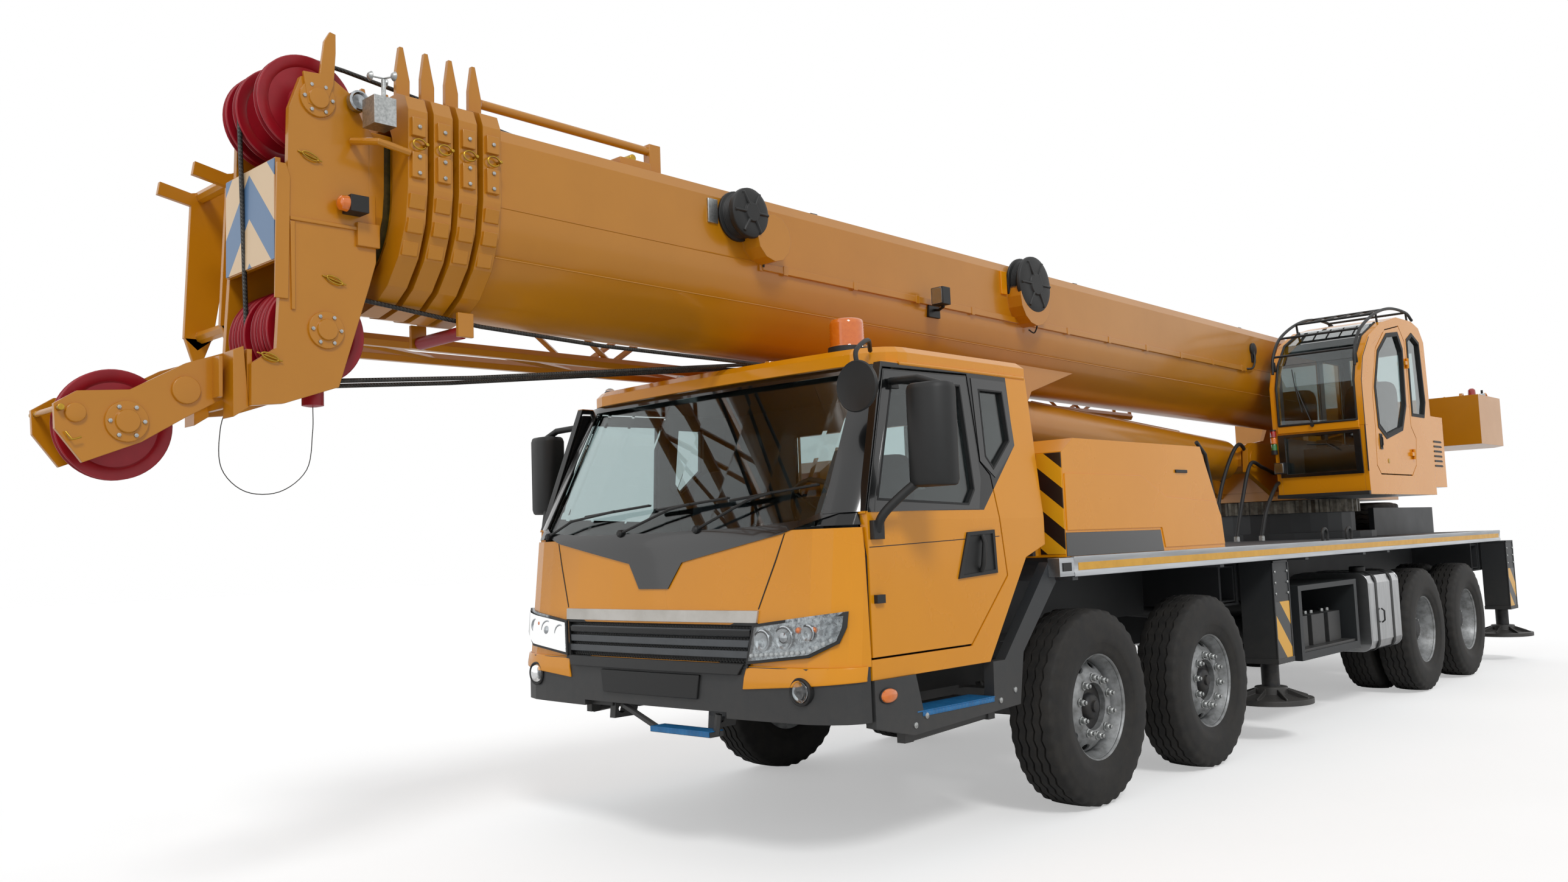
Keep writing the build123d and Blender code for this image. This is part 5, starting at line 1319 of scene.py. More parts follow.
class CRANE_OT_boom(CraneOperator):
    """Build the boom's cable reels, duct, lamps, collar pads and pins"""

    bl_idname = "crane.boom"
    bl_label = "Boom"

    def build(self):
        shell = Piece("boom_belly").use("boom_enamel")
        rings = []
        for along in (0.56, 11.0):
            outer, inner = ([on_boom(half * math.cos(a), along, -0.058 - (0.459 + grow) * math.sin(a))
                             for a in (math.pi * step / 48 for step in range(49))]
                            for half, grow in ((0.3815, 0.0015), (0.378, -0.002)))
            rings.append(outer + inner[::-1])
        shell.loft(rings).done("boom_1")
        foot = Piece("jib_foot").use("boom_enamel")
        for x in (-0.90, -0.50):
            foot.prism([(-4.208, 2.612), (-4.150, 2.440), (-4.083, 2.612)], "x", x - 0.012, x + 0.012)
        foot.done("boom_1", 0.003)
        reels = Piece("cable_reels").use("moulded_black")
        for y, z, radius, depth in ((-1.841, 3.311, 0.136, 0.125), (0.950, 3.280, 0.198, 0.118)):
            spot = (0.372, y, z)
            profile = [(0.0, radius * 0.8), (0.01, radius), (0.026, radius), (0.030, radius * 0.90)]
            for rib in range(5):
                profile += [(0.034 + rib * 0.011, radius * 0.86), (0.038 + rib * 0.011, radius * 0.92)]
            profile += [(depth - 0.02, radius), (depth, radius * 0.98), (depth + 0.012, radius * 0.80),
                        (depth + 0.010, radius * 0.40), (depth + 0.020, radius * 0.36),
                        (depth + 0.020, 0.001)]
            reels.spin(profile, spot, steps=40)
            for spoke in range(6):
                a = math.pi * spoke / 3
                ca, sa = math.cos(a), math.sin(a)
                reels.tube([(0.372 + depth + 0.012, y + 0.3 * radius * ca, z + 0.3 * radius * sa),
                            (0.372 + depth + 0.008, y + 0.9 * radius * ca, z + 0.9 * radius * sa)], 0.010, 6)
            reels.box((0.378, 0.44), (y + radius * 0.9, y + radius * 1.25), (z - 0.05, z + 0.05))
        reels.tube(bend([(0.45, 0.98, 3.09), (0.44, 1.03, 3.02), (0.42, 1.02, 2.96), (0.40, 0.98, 2.98)]),
                   0.006, 6)
        reels.tube(bend([(0.43, -1.70, 3.27), (0.41, -1.66, 3.17), (0.395, -1.655, 3.06)]), 0.007, 6)
        reels.use("galvanised").box((0.372, 0.39), (-2.05, -1.98), (3.25, 3.38))
        reels.use("cab_enamel").box((0.374, 0.392), (0.68, 0.75), (3.20, 3.36))
        reels.done("boom_1", 0.003)
        duct = Piece("cable_duct").use("boom_enamel")
        duct.prism([(-1.66, 3.045), (4.62, 2.963), (4.62, 3.003), (-1.66, 3.085)], "x", 0.376, 0.398)
        duct.prism([(-1.68, 3.04), (-1.655, 3.04), (-1.655, 3.30), (-1.68, 3.30)], "x", 0.374, 0.392)
        for step in range(11):
            y = -1.5 + step * 0.6
            z = 3.064 - (y + 1.66) * 0.01306
            duct.box((0.396, 0.402), (y, y + 0.035), (z - 0.026, z + 0.026))
        duct.use("moulded_black")
        duct.tube(bend([(0.386, 4.60, 2.985), (0.41, 4.72, 3.00), (0.41, 4.78, 3.08), (0.395, 4.80, 3.16)]),
                  0.010, 8)
        duct.done("boom_1", 0.002)
        seam = Piece("boom_seams").use("boom_enamel")
        for height in (0.333 - 0.39, 0.333 - 0.62):
            half = 0.3805 if height > -0.1 else 0.365
            seam.tube([on_boom(half, 0.4, height), on_boom(half, 11.0, height)], 0.004, 6)
        seam.both().done("boom_1")
        lamp = Piece("boom_work_lamp").use("moulded_black")
        lamp.box((0.455, 0.545), (-0.215, -0.135), (3.005, 3.115))
        lamp.tube([(0.38, -0.10, 3.00), (0.44, -0.12, 2.99), (0.50, -0.15, 3.00)], 0.010, 6)
        lamp.box((0.372, 0.392), (-0.16, -0.04), (2.95, 3.04))
        lamp.use("lamp_mirror").box((0.463, 0.537), (-0.2185, -0.210), (3.013, 3.107))
        lamp.use("clear_lens").box((0.460, 0.540), (-0.226, -0.2195), (3.010, 3.110))
        lamp.done("boom_1", 0.004)
        gauge = Piece("angle_indicator").use("moulded_black")
        gauge.spin([(0.0, 0.06), (0.02, 0.06), (0.024, 0.05), (0.024, 0.001)], (0.379, 4.806, 3.18), steps=28)
        gauge.prism([(4.77, 3.06), (4.84, 3.06), (4.85, 3.16), (4.76, 3.16)], "x", 0.378, 0.396)
        gauge.done("boom_1", 0.002)
        top = Piece("boom_top_pipe").use("boom_enamel")
        top.tube([(0.25, -3.34, 3.615), (0.25, -2.30, 3.600)], 0.022, 12)
        top.box((0.225, 0.275), (-2.345, -2.270), (3.470, 3.635))
        top.box((0.13, 0.30), (-2.56, -2.36), (3.472, 3.52))
        top.use("passivated_zinc").tube([(0.16, -2.46, 3.535), (0.28, -2.46, 3.535)], 0.020, 12)
        top.done("boom_1", 0.003)
        self.collars()

    def collars(self):
        for number in range(1, 5):
            half = 0.380 - 0.030 * number + 0.002
            top = 0.333 - 0.030 * number + 0.002
            low = 0.333 - 0.85 + 0.030 * number - 0.002
            belly = top - (top - low) * 0.46
            line = [(half * math.cos(a), belly - (belly - low) * math.sin(a))
                    for a in (math.pi * step / 40 for step in range(41))]
            line += [(-half, top - 0.06), (-half + 0.06, top), (half - 0.06, top), (half, top - 0.06)]
            front = 11.095 + 0.12 * (number - 1)
            # A dark olive band in each gap between collars: partly real grease, partly painted shade between
            # the sections.
            band = Piece(f"greased_band_{number}").use("grease")
            band.loft([[on_boom(x, along, up) for x, up in line] for along in (front - 0.002, front + 0.027)])
            band.done(f"boom_{number + 1}")
        for number in range(1, 6):
            if number == 5:
                continue
            shrink = 0.030 * (number - 1)
            half = 0.380 - shrink + 0.042 + shrink * 0.9
            front = 11.095 + 0.12 * (number - 1)
            pads = Piece(f"collar_pads_{number}").use("boom_enamel")
            for low, high in ((-0.02, 0.09), (0.16, 0.24)):
                spots = [on_boom(half - 0.004, front - 0.075, low), on_boom(half - 0.004, front - 0.012, low),
                         on_boom(half - 0.004, front - 0.012, high),
                         on_boom(half - 0.004, front - 0.075, high)]
                pads.loft([spots, [(x + 0.020, y, z) for x, y, z in spots]])
            for up in (-0.12, -0.22, -0.31):
                inset = 0.006 + (-0.12 - up) ** 2 * 1.7
                spots = [on_boom(half - inset - 0.02, front - 0.080, up - 0.03),
                         on_boom(half - inset - 0.02, front - 0.008, up - 0.03),
                         on_boom(half - inset - 0.004, front - 0.008, up + 0.03),
                         on_boom(half - inset - 0.004, front - 0.080, up + 0.03)]
                pads.loft([spots, [(x + 0.022, y, z) for x, y, z in spots]])
            pads.use("galvanised")
            for up in (0.0, 0.07, 0.20):
                x, y, z = on_boom(half + 0.016, front - 0.044, up)
                pads.spin([(0.0, 0.010), (0.006, 0.010), (0.008, 0.006)], (x, y, z), steps=6)
            pads.both()
            pads.use("passivated_zinc")
            x, y, z = on_boom(half + 0.012, front - 0.045, 0.125)
            ring = [(x + 0.004, y + 0.030 * math.cos(a), z + 0.022 * math.sin(a))
                    for a in (2 * math.pi * s / 20 for s in range(21))]
            pads.tube(ring, 0.0045, 6)
            pads.tube([(x - 0.03, y + 0.03, z), (x + 0.02, y + 0.03, z)], 0.008, 8)
            pads.done(f"boom_{number}", 0.004)


def sheave(piece, x, y, z, radius=0.21):
    """One turned sheave: rim with rope groove, dished web and hub."""
    half = 0.021
    profile = [(-half, 0.05), (-half, 0.075), (-0.010, 0.080), (-0.009, 0.160), (-0.019, 0.172),
               (-half, radius - 0.004),
               (-half + 0.004, radius), (-0.013, radius), (-0.009, radius - 0.016), (-0.004, radius - 0.023),
               (0.004, radius - 0.023), (0.009, radius - 0.016), (0.013, radius), (half - 0.004, radius),
               (half, radius - 0.004), (0.019, 0.172), (0.009, 0.160), (0.010, 0.080), (half, 0.075),
               (half, 0.05)]
    piece.use("cast_nylon").spin(profile, (x, y, z), steps=56)


class CRANE_OT_boom_head(CraneOperator):
    """Build the boom head's sheaves, film, bosses, instruments and the short arm's fittings"""

    bl_idname = "crane.boom_head"
    bl_label = "Boom head"

    def build(self):
        wheels = Piece("rope_sheaves")
        for x in (-0.150, -0.050, 0.150):
            sheave(wheels, x, -4.125, 3.450)
        for x in (-0.160, -0.105, -0.050, 0.050, 0.105, 0.160):
            sheave(wheels, x, -4.095, 2.490)
        sheave(wheels, 0, -4.812, 2.095)
        wheels.use("boom_enamel")
        for y, z, reach in ((-4.125, 3.450, 0.230), (-4.095, 2.490, 0.230), (-4.812, 2.095, 0.118)):
            wheels.spin([(-reach, 0.04), (reach, 0.04)], (0, y, z), steps=24)
        for y, z, reach in ((-4.125, 3.450, 0.258), (-4.095, 2.490, 0.258), (-4.812, 2.095, 0.138)):
            for sign in (-1, 1):
                wheels.spin([(sign * (reach - 0.002), 0.078), (sign * (reach + 0.010), 0.076),
                             (sign * (reach + 0.012), 0.045), (sign * (reach + 0.022), 0.042),
                             (sign * (reach + 0.023), 0.001)], (0, y, z), steps=32)
        wheels.use("galvanised")
        for y, z, reach in ((-4.125, 3.450, 0.268), (-4.095, 2.490, 0.268), (-4.812, 2.095, 0.148)):
            for sign in (-1, 1):
                for bolt in range(6):
                    a = math.pi * bolt / 3
                    wheels.spin([(sign * reach, 0.008), (sign * (reach + 0.007), 0.008),
                                 (sign * (reach + 0.008), 0.004)],
                                (0, y + 0.06 * math.cos(a), z + 0.06 * math.sin(a)), steps=6)
        wheels.done("boom_5", 0, ("head_sheaves",), "sheave_red")
        film = Piece("head_chevrons").use("head_film")
        film.box((-0.228, 0.228), (-4.2945, -4.289), (2.765, 3.175))
        film.done("boom_5")
        head = Piece("head_fittings").use("boom_enamel")
        head.prism([(-4.19, 3.55), (-4.12, 3.555), (-4.10, 3.70), (-4.075, 3.745), (-4.05, 3.74),
                    (-4.05, 3.66),
                    (-4.06, 3.52), (-4.10, 3.40), (-4.17, 3.42)], "x", 0.258, 0.272)
        head.box((0.257, 0.266), (-4.245, -3.872), (2.925, 2.940))
        head.prism([(-4.24, 2.56), (-4.225, 2.56), (-4.225, 2.92), (-4.245, 2.92)], "x", 0.257, 0.266)
        head.use("passivated_zinc")
        for y, z in ((-4.06, 2.70), (-4.16, 3.20), (-4.33, 2.36)):
            loop = [(0.268, y + 0.034 * math.cos(a), z + 0.013 * math.sin(a) - 0.010 * math.cos(a))
                    for a in (2 * math.pi * step / 16 for step in range(17))]
            head.tube(loop, 0.0035, 6)
            head.tube([(0.262, y - 0.05, z + 0.015), (0.268, y + 0.05, z - 0.014)], 0.0035, 6)
        head.both().use("boom_enamel")
        head.prism([(-4.31, 2.60), (-4.255, 2.60), (-4.245, 3.10), (-4.262, 3.15), (-4.30, 3.15)], "x",
                   0.258, 0.268)
        head.box((0.258, 0.275), (-3.96, -3.86), (2.86, 2.96))
        head.tube([(0.27, -3.98, 3.30), (0.42, -3.94, 3.27), (0.42, -3.80, 3.25)], 0.016, 8)
        head.use("galvanised").box((0.34, 0.44), (-3.97, -3.87), (3.34, 3.46))
        head.tube([(0.39, -3.90, 3.45), (0.39, -3.90, 3.55)], 0.010, 8)
        for cup in range(3):
            a = 2 * math.pi * cup / 3 + 0.4
            spot = (0.39 + 0.055 * math.cos(a), -3.90 + 0.055 * math.sin(a), 3.555)
            head.tube([(0.39, -3.90, 3.555), spot], 0.004, 6)
            head.spin([(-0.014, 0.001), (-0.012, 0.012), (0.0, 0.021), (0.003, 0.019)], spot, "y", 16)
        head.use("moulded_black").box((0.258, 0.335), (-4.02, -3.94), (2.985, 3.055))
        head.use("lamp_mirror").spin([(0.0, 0.045), (0.03, 0.045), (0.034, 0.036), (0.024, 0.03),
                                      (0.020, 0.001)],
                                     (0.272, -3.96, 3.47), steps=28)
        head.use("amber_lens").spin([(0.0, 0.034), (-0.03, 0.030), (-0.04, 0.016), (-0.042, 0.001)],
                                    (0.30, -4.02, 3.02), "y", 20)
        head.done("boom_5", 0.003)
        arm = Piece("arm_fittings").use("boom_enamel")
        for y, z, radius in ((-4.600, 2.225, 0.055), (-4.985, 2.120, 0.036)):
            arm.spin([(0.136, radius), (0.150, radius * 0.96), (0.152, radius * 0.6)], (0, y, z), steps=28)
        arm.prism([(-4.46, 2.38), (-4.42, 2.40), (-4.40, 2.16), (-4.46, 2.12)], "x", 0.138, 0.235)
        arm.prism([(-4.50, 2.36), (-4.485, 2.36), (-4.485, 2.20), (-4.50, 2.20)], "x", 0.136, 0.20)
        arm.use("passivated_zinc")
        arm.tube([(0.10, -5.038, 2.135), (0.165, -5.038, 2.135)], 0.012, 12)
        arm.tube([(0.150, -5.02, 2.05), (0.160, -5.00, 2.02), (0.160, -4.97, 2.03)], 0.004, 6)
        arm.both().done("boom_5", 0.003)


class CRANE_OT_rigging(CraneOperator):
    """Run the hoist ropes and hang the limit switch's weight and wire"""

    bl_idname = "crane.rigging"
    bl_label = "Rigging"

    def build(self):
        radius = sizes().rope / 2
        head = Piece("head_ropes").use("wire_rope")
        head.tube([(-0.05, -4.315, 3.46), (-0.05, -4.285, 2.50)], radius, 10)
        head.tube([(0.15, -4.125, 3.655), (0.15, -3.95, 3.645), (0.15, -3.55, 3.600)], radius, 10)
        for x, low in ((-0.105, 2.300), (0.105, 2.300), (0.160, 2.675)):
            start = (x, -4.07, low)
            end = (x, -3.30, 2.37 if low < 2.5 else 2.60)
            head.tube([start, end], radius, 10)
        for x in (-0.105, 0.105):
            head.tube([(x, -3.30, 2.37), (x, -1.5, 2.575), (x, -0.16, 2.655)], radius, 10)
        head.tube([(0.160, -3.30, 2.60), (0.160, -2.60, 2.575), (0.160, -0.9, 2.57), (0.160, -0.16, 2.62)],
                  radius, 10)
        head.done("boom_5")
        line = Piece("hoist_line").use("wire_rope")
        line.tube([(0.15, -3.55, 3.600), (0.15, -3.1, 3.545), (0.10, 7.35, 3.385), (0.06, 8.10, 2.60),
                   (0.05, 8.36, 2.31)], radius, 10)
        line.use("moulded_black")
        for y in (-1.0, 2.0, 5.0):
            z = 3.353 + 0.01309 * (7.65 - y)
            line.box((0.08, 0.20), (y - 0.03, y + 0.03), (z - 0.004, z + 0.046))
        line.use("cast_nylon").tube([(-0.16, -3.42, 2.555), (0.20, -3.42, 2.555)], 0.030, 16)
        line.use("boom_enamel").box((-0.19, -0.17), (-3.46, -3.38), (2.53, 2.64))
        line.box((0.21, 0.23), (-3.46, -3.38), (2.53, 2.64))
        line.done("boom_1", 0.003)
        rest = Piece("hook_rest").use("frame_paint")
        for x in (-0.20, 0.20):
            rest.box((x - 0.025, x + 0.025), (-0.20, -0.15), (1.895, 2.60))
        rest.box((-0.23, 0.23), (-0.215, -0.135), (2.585, 2.70))
        rest.use("cast_nylon").box((-0.20, 0.20), (-0.235, -0.205), (2.60, 2.69))
        rest.done("chassis", 0.006)
        weight = Piece("limit_weight").use("cast_nylon")
        weight.spin([(-0.055, 0.020), (-0.050, 0.044), (0.050, 0.044), (0.055, 0.020)],
                    (0.12, -4.085, 2.245), "z", 24)
        weight.use("galvanised").tube([(0.12, -4.085, 2.29), (0.12, -4.085, 2.34)], 0.006, 8)
        weight = weight.done("boom_5")
        route = bend([(0.12, -4.430, 2.190), (0.118, -4.462, 2.08), (0.112, -4.455, 1.93),
                      (0.108, -4.36, 1.84),
                      (0.108, -4.22, 1.84), (0.114, -4.11, 1.93), (0.120, -4.087, 2.08), (0.12, -4.085, 2.19),
                      (0.12, -4.085, 2.285)], 6)
        route = [(x, y + FIRST_AXLE_Y, z) for x, y, z in route]
        wire = bpy.data.curves.new("limit_wire", "CURVE")
        wire.dimensions = "3D"
        wire.bevel_depth = 0.002
        wire.bevel_resolution = 2
        spline = wire.splines.new("POLY")
        spline.points.add(len(route) - 1)
        for point, place in zip(spline.points, route):
            point.co = (*place, 1)
        made = bpy.data.objects.new("limit_wire", wire)
        bpy.context.scene.collection.objects.link(made)
        wire.materials.append(FINISH["wire_rope"])
        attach(made, "boom_5")


class CRANE_OT_operator_cab(CraneOperator):
    """Build the operator cab's roof guard, seals, wipers, lamps, handle and louvres"""

    bl_idname = "crane.operator_cab"
    bl_label = "Operator's cab"

    def build(self):
        guard = Piece("roof_guard").use("moulded_black")
        line = [(4.842, 2.93), (4.875, 3.09), (5.06, 3.28), (5.47, 3.455), (5.90, 3.548), (6.34, 3.556),
                (6.52, 3.50)]
        for x in (0.54, 1.26):
            guard.tube(bend([(x, y, z) for y, z in line]), 0.014, 8)
            for y, z in ((4.90, 2.99), (5.50, 3.40), (6.36, 3.49)):
                guard.tube([(x, y - 0.012, z + 0.055), (x, y + 0.01, z - 0.03)], 0.011, 6)
        for y, z in line[1:6]:
            guard.tube([(0.54, y, z), (1.26, y, z)], 0.011, 8)
        for x in (0.66, 0.78, 0.90, 1.02, 1.14):
            guard.tube([(x, 5.47, 3.455), (x, 5.90, 3.548)], 0.007, 6)
        guard.done("turret")
        screen = Piece("screen_frame").use("cab_enamel")
        for x0, x1 in ((0.500, 0.556), (1.244, 1.300)):
            outline = [(4.858, 2.405), (4.846, 2.80), (4.925, 3.015), (5.115, 3.215), (5.50, 3.376)]
            back = [(5.56, 3.30), (5.19, 3.135), (5.02, 2.975), (4.935, 2.785), (4.94, 2.405)]
            screen.prism(outline + back, "x", x0 - (0.003 if x0 < 1 else 0), x1 + (0.003 if x1 > 1 else 0))
        screen.box((0.545, 1.255), (4.848, 4.872), (2.385, 2.450))
        screen.use("seal_rubber")
        for x in (0.560, 1.240):
            screen.tube([(x, y - 0.004, z) for y, z in ((4.858, 2.45), (4.846, 2.80), (4.925, 3.015),
                                                        (5.115, 3.215),
                                                        (5.50, 3.376))], 0.011, 8)
        screen.tube([(0.56, 4.848, 2.455), (1.24, 4.848, 2.455)], 0.010, 8)
        screen.tube([(1.301, 4.875, 2.0), (1.301, 4.852, 2.80), (1.301, 4.930, 3.01), (1.301, 5.12, 3.20)],
                    0.006, 6)
        screen.done("turret", 0.003)
        lower = Piece("lower_window_frame").use("gloss_black")
        lower.ring([(0.54, 1.985), (0.54, 2.370), (1.26, 2.370), (1.26, 1.985)],
                   [(0.60, 2.015), (0.60, 2.345), (1.20, 2.345), (1.20, 2.015)],
                   lambda x, z, out: (x, 4.894 - (z - 1.80) * 0.064 - out, z), -0.004, 0.008)
        lower.use("moulded_black").box((0.50, 1.30), (4.858, 4.90), (1.800, 1.832))
        lower.done("turret", 0.002)
        arms = Piece("operator_wipers").use("moulded_black")
        arms.tube([(0.86, 4.850, 2.44), (0.80, 4.832, 2.62), (0.74, 4.836, 2.80)], 0.006, 6)
        arms.tube([(0.78, 4.838, 2.56), (0.735, 4.832, 2.80), (0.70, 4.880, 2.96)], 0.005, 6)
        arms.tube([(1.06, 4.845, 2.20), (0.98, 4.846, 2.26), (0.80, 4.848, 2.27)], 0.005, 6)
        arms.spin([(0.01, 0.018), (-0.02, 0.016)], (0.86, 4.852, 2.44), "y", 16)
        arms.done("turret")
        lamp = Piece("operator_work_lamp").use("moulded_black")
        lamp.box((0.52, 0.61), (4.775, 4.845), (2.02, 2.12))
        lamp.tube([(0.565, 4.84, 2.07), (0.565, 4.88, 2.05)], 0.012, 6)
        lamp.use("lamp_mirror").box((0.527, 0.603), (4.772, 4.780), (2.027, 2.113))
        lamp.use("clear_lens").box((0.524, 0.606), (4.766, 4.7715), (2.024, 2.116))
        lamp.done("turret", 0.004)
        tower = Piece("load_lamps").use("moulded_black")
        tower.tube([(0.505, 4.845, 2.20), (0.505, 4.845, 2.24)], 0.028, 16)
        for finish, z in (("green_lens", 2.24), ("amber_lens", 2.30), ("red_lens", 2.36)):
            tower.use(finish).spin([(0.0, 0.026), (0.048, 0.026), (0.055, 0.022)], (0.505, 4.845, z), "z", 24)
        tower.use("moulded_black").spin([(0.0, 0.027), (0.012, 0.024)], (0.505, 4.845, 2.415), "z", 20)
        tower.done("turret")
        self.side()
        self.door()

    def side(self):
        pane = [(6.180, 2.560), (6.180, 3.260), (6.330, 3.330), (6.520, 3.260), (6.580, 2.700),
                (6.520, 2.560)]
        rim = [(6.158, 2.540), (6.158, 3.275), (6.325, 3.354), (6.537, 3.278), (6.602, 2.697), (6.532, 2.540)]
        lip = [(6.190, 2.570), (6.190, 3.253), (6.332, 3.318), (6.511, 3.252), (6.569, 2.702), (6.514, 2.570)]
        frame_ = Piece("operator_quarter_seal").use("seal_rubber")
        frame_.ring(rim, pane, on_opcab, -0.002, 0.004)
        frame_.ring(pane, lip, on_opcab, -0.022, 0.006)
        frame_.done("turret")
        louvres = Piece("cooler_louvres").use("moulded_black")
        for step in range(6):
            z = 2.08 + step * 0.048
            louvres.prism([(1.259, z), (1.259, z + 0.022), (1.268, z + 0.003)], "y", 6.90, 7.14)
        louvres.done("turret")

    def door(self):
        pane = [(5.200, 2.760), (5.230, 2.420), (5.420, 2.330), (5.850, 2.420), (5.990, 2.640),
                (6.010, 3.150),
                (5.900, 3.290), (5.600, 3.250), (5.340, 3.080)]
        centre = (sum(a for a, _ in pane) / 9, sum(b for _, b in pane) / 9)

        def scaled(by):
            return [(centre[0] + (a - centre[0]) * by, centre[1] + (b - centre[1]) * by) for a, b in pane]

        trim = Piece("operator_door_trim").use("seal_rubber")
        trim.ring(scaled(1.07), pane, on_opcab, -0.002, 0.005)
        trim.ring(pane, scaled(0.975), on_opcab, -0.022, 0.007)
        trim.use("moulded_black")
        trim.ring([(5.215, 2.20), (5.215, 2.34), (5.275, 2.34), (5.275, 2.20)],
                  [(5.226, 2.212), (5.226, 2.328), (5.264, 2.328), (5.264, 2.212)], on_opcab, -0.002, 0.008)
        trim.box((1.300, 1.303), (5.226, 5.264), (2.212, 2.328))
        trim.tube([(1.303, 5.245, 2.22), (1.316, 5.245, 2.24), (1.316, 5.245, 2.30), (1.303, 5.245, 2.32)],
                  0.007, 8)
        trim.use("cab_enamel")
        for z in (2.16, 3.02):
            trim.box((1.300, 1.322), (6.03, 6.10), (z, z + 0.035))
            trim.spin([(-0.03, 0.014), (0.065, 0.014)], (1.314, 6.105, z), "z", 12)
        trim.use("passivated_zinc").spin([(0.0, 0.022), (0.003, 0.022), (0.004, 0.015)], (1.30, 5.42, 2.10),
                                         steps=20)
        trim.done("opcab_door", 0.002)


class CRANE_OT_superstructure(CraneOperator):
    """Build the turntable's fittings, the cylinder's gland and the counterweight's lamps"""

    bl_idname = "crane.superstructure"
    bl_label = "Superstructure"

    def build(self):
        lamps = Piece("counterweight_lamps")
        lamps.use("moulded_black").spin([(0.0, 0.05), (0.022, 0.048), (0.024, 0.04)], (1.20, 8.62, 2.879),
                                        "z", 24)
        lamps.use("red_lens").spin([(0.022, 0.040), (0.080, 0.036), (0.096, 0.020), (0.098, 0.001)],
                                   (1.20, 8.62, 2.879), "z", 28)
        lamps.use("lamp_mirror").spin([(0.0, 0.030), (0.03, 0.034), (0.05, 0.028), (0.055, 0.010)],
                                      (1.24, 8.86, 2.879), "z", 24)
        lamps.use("moulded_black").spin([(0.05, 0.012), (0.09, 0.012)], (1.24, 8.86, 2.879), "z", 12)
        lamps.use("cab_enamel")
        for x in (-1.22, -0.80, 0.80, 1.22):
            lamps.tube(bend([(x, 9.02, 2.875), (x, 9.02, 2.92), (x, 9.07, 2.945), (x, 9.12, 2.92),
                             (x, 9.12, 2.875)], 4), 0.011, 8)
        lamps.done("turret")
        gland = Piece("cylinder_gland").use("boom_enamel")
        stem = Piece("cylinder_stem").use("hard_chrome")
        low = Vector((0, 4.9, 2.18))
        way = (Vector((0, 0.95, 2.39)) - low).normalized()
        length = 3.9556
        for start, end, radius in ((length - 0.37, length - 0.305, 0.200),
                                   (length - 0.305, length - 0.285, 0.165)):
            gland.tube([low + way * start, low + way * end], radius, 40)
        gland.tube([low + way * 0.1, low + way * (length - 0.31)], 0.1912, 48)
        stem.tube([low + way * (length - 0.6), low + way * (length - 0.13)], 0.1258, 40)
        stem.done("luff_rod")
        gland.tube([low + way * 0.9 + Vector((0.0, 0, 0.19)), low + way * 3.3 + Vector((0.0, 0, 0.19))],
                   0.016, 10)
        gland.use("galvanised")
        for bolt in range(12):
            a = 2 * math.pi * bolt / 12
            sideways = Vector((math.cos(a), 0, 0)) * 0.182
            out = sideways + way.cross(Vector((1, 0, 0))).normalized() * 0.182 * math.sin(a)
            gland.tube([low + way * (length - 0.306) + out, low + way * (length - 0.292) + out], 0.011, 6)
        gland.done("luff_barrel", 0.003)
        plates = Piece("turntable_fittings").use("boom_enamel")
        for y in (5.62, 6.35, 7.05):
            plates.prism([(y, 1.88), (y + 0.016, 1.88), (y + 0.016, 2.30), (y, 2.30)], "x", 0.30, 0.432)
        plates.spin([(0.468, 0.13), (0.482, 0.128), (0.484, 0.08), (0.496, 0.078), (0.498, 0.001)],
                    (0, 7.65, 3.02), steps=36)
        plates.both()
        plates.use("galvanised")
        for bolt in range(40):
            a = 2 * math.pi * bolt / 40
            plates.spin([(0.0, 0.013), (0.014, 0.013), (0.016, 0.008)],
                        (0.64 * math.cos(a), 6.10 + 0.64 * math.sin(a), 1.880), "z", 6)
        plates.done("turret", 0.002)
        drums = Piece("winch_ropes").use("wire_rope")
        for y in (8.44, 8.89):
            profile = [(-0.355, 0.150)]
            for turn in range(35):
                x = -0.35 + turn * 0.02
                profile += [(x, 0.156), (x + 0.005, 0.168), (x + 0.010, 0.172), (x + 0.015, 0.168)]
            profile.append((0.355, 0.150))
            drums.spin(profile, (0, y, 2.18), steps=32)
        drums.done("turret")


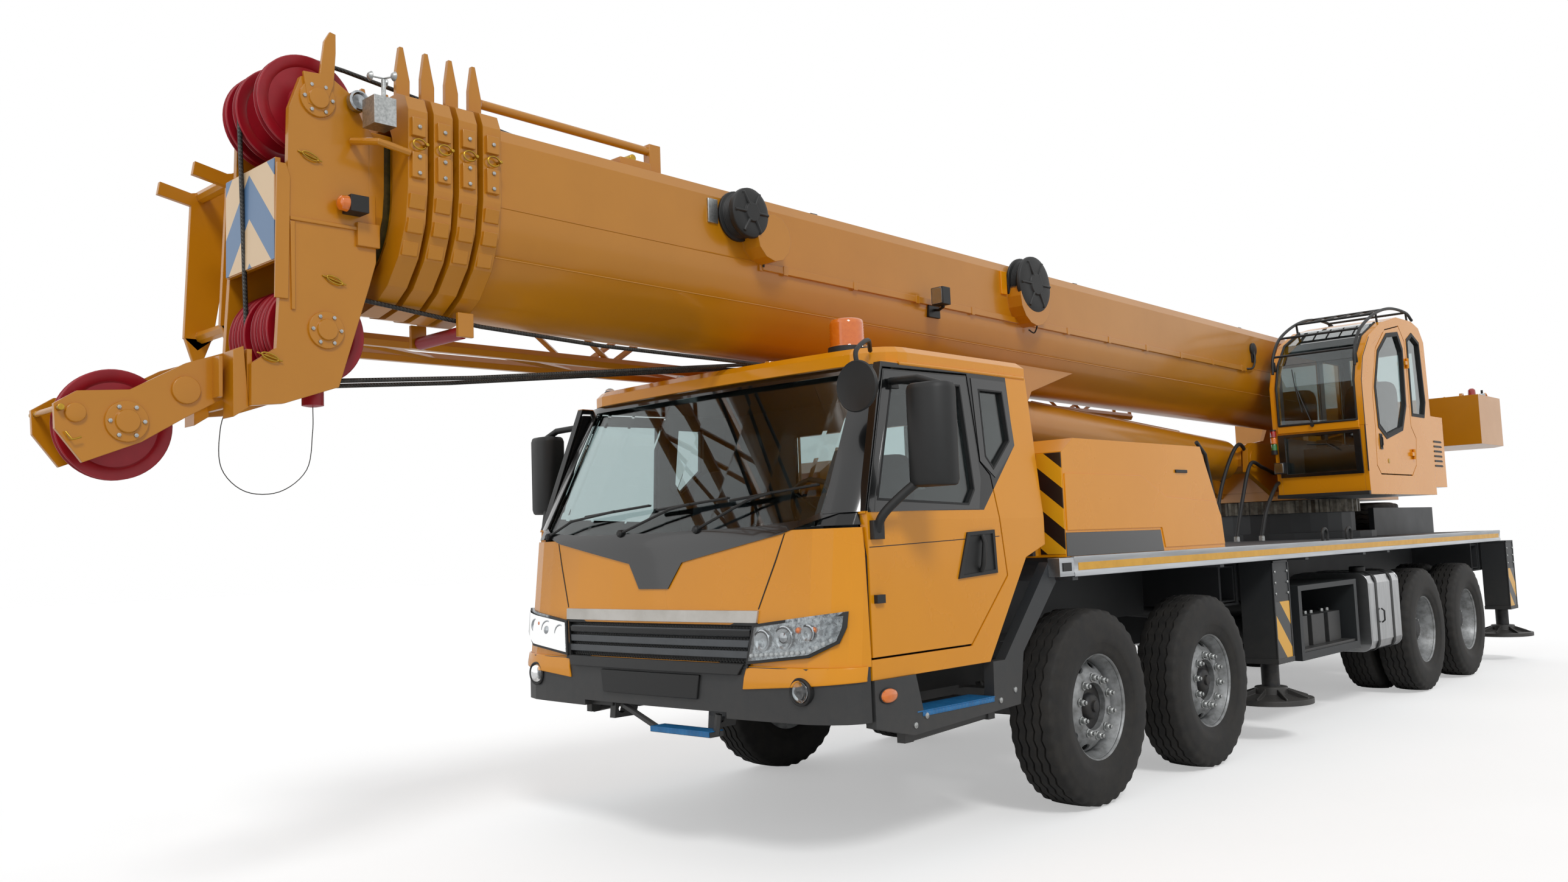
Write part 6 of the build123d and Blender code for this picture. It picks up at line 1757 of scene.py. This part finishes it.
class CRANE_OT_stage(CraneOperator):
    """Set up the floor, the lights and the camera"""

    bl_idname = "crane.stage"
    bl_label = "Stage"

    def build(self):
        floor = Piece("studio_floor").use("floor")
        floor.box((-60, 60), (-60, 60), (-0.06, -0.002))
        made = bpy.data.objects.new("studio_floor", floor.data())
        bpy.context.scene.collection.objects.link(made)
        self.white_out()
        world = bpy.data.worlds.new("studio")
        bpy.context.scene.world = world
        world.use_nodes = True
        tree = world.node_tree
        tree.nodes.clear()
        path = put(tree, "LightPath")
        either = put(tree, "Math", links={0: (path, "Is Camera Ray"), 1: (path, "Is Glossy Ray")},
                     operation="MAXIMUM")
        either = put(tree, "Math", links={0: (either, "Value"), 1: (path, "Is Transmission Ray")},
                     operation="MAXIMUM")
        soft = put(tree, "Background", {"Color": linear("#F3F5F8"), "Strength": SKY})
        white = put(tree, "Background", {"Color": (1, 1, 1, 1), "Strength": 1.0})
        mix = put(tree, "MixShader", links={0: (either, "Value"), 1: (soft, "Background"),
                                            2: (white, "Background")})
        put(tree, "OutputWorld", links={"Surface": (mix, "Shader")})
        for name, energy, angle, way in LAMPS:
            data = bpy.data.lights.new(name, "SUN")
            data.energy = energy
            data.angle = math.radians(angle)
            lamp = bpy.data.objects.new(name, data)
            bpy.context.scene.collection.objects.link(lamp)
            lamp.rotation_euler = Vector(way).to_track_quat("-Z", "Y").to_euler()
        self.camera()
        bpy.context.scene.view_settings.view_transform = "Standard"

    def white_out(self):
        """Show the floor as white where the camera sees it in the light, and keep its shadow."""
        tree = FINISH["floor"].node_tree
        shader = tree.nodes["Principled BSDF"]
        path = put(tree, "LightPath")
        glow = put(tree, "Emission", {"Color": (1, 1, 1, 1), "Strength": FLOOR_LIFT})
        plain = put(tree, "Emission", {"Color": (0, 0, 0, 1), "Strength": 0.0})
        lift = put(tree, "MixShader", links={0: (path, "Is Camera Ray"), 1: (plain, "Emission"),
                                             2: (glow, "Emission")})
        whole = put(tree, "AddShader", links={0: (shader, "BSDF"), 1: (lift, "Shader")})
        output = tree.nodes["Material Output"]
        tree.links.new(whole.outputs["Shader"], output.inputs["Surface"])

    def camera(self):
        data = bpy.data.cameras.new("viewpoint")
        data.sensor_fit = "HORIZONTAL"
        data.sensor_width = SENSOR
        data.lens = FOCAL
        data.clip_end = 400
        eye = bpy.data.objects.new("viewpoint", data)
        bpy.context.scene.collection.objects.link(eye)
        yaw, pitch, roll = (math.radians(a) for a in EYE_TURN)
        ahead = Vector((math.sin(yaw) * math.cos(pitch), math.cos(yaw) * math.cos(pitch), math.sin(pitch)))
        right = Vector((math.cos(yaw), -math.sin(yaw), 0))
        above = right.cross(ahead)
        across = math.cos(roll) * right + math.sin(roll) * above
        upward = -math.sin(roll) * right + math.cos(roll) * above
        turn = Matrix((across, upward, -ahead)).transposed().to_4x4()
        eye.matrix_world = Matrix.Translation((EYE[0], EYE[1] + FIRST_AXLE_Y, EYE[2])) @ turn
        bpy.context.scene.camera = eye


class CRANE_PT_pieces(bpy.types.Panel):
    bl_idname = "CRANE_PT_pieces"
    bl_label = "Truck Crane"
    bl_space_type = "VIEW_3D"
    bl_region_type = "UI"
    bl_category = "Crane"

    def draw(self, context):
        for step in STEPS:
            self.layout.operator(step.bl_idname)
        for group in (context.scene.crane_colours, context.scene.crane_sizes):
            for name in group.__annotations__:
                self.layout.prop(group, name)


STEPS = (CRANE_OT_solids, CRANE_OT_rigging, CRANE_OT_wheels, CRANE_OT_cab_front, CRANE_OT_cab_trim,
         CRANE_OT_interiors, CRANE_OT_steps, CRANE_OT_deck, CRANE_OT_undercarriage, CRANE_OT_boom,
         CRANE_OT_boom_head, CRANE_OT_operator_cab, CRANE_OT_superstructure, CRANE_OT_stage)


def register():
    for group in (CraneColours, CraneSizes, *STEPS, CRANE_PT_pieces):
        bpy.utils.register_class(group)
    bpy.types.Scene.crane_colours = bpy.props.PointerProperty(type=CraneColours)
    bpy.types.Scene.crane_sizes = bpy.props.PointerProperty(type=CraneSizes)


def unregister():
    del bpy.types.Scene.crane_sizes
    del bpy.types.Scene.crane_colours
    for group in (CRANE_PT_pieces, *reversed(STEPS), CraneSizes, CraneColours):
        bpy.utils.unregister_class(group)


def main():
    register()
    for step in STEPS:
        group, name = step.bl_idname.split(".")
        getattr(getattr(bpy.ops, group), name)()


if __name__ == "__main__":
    main()
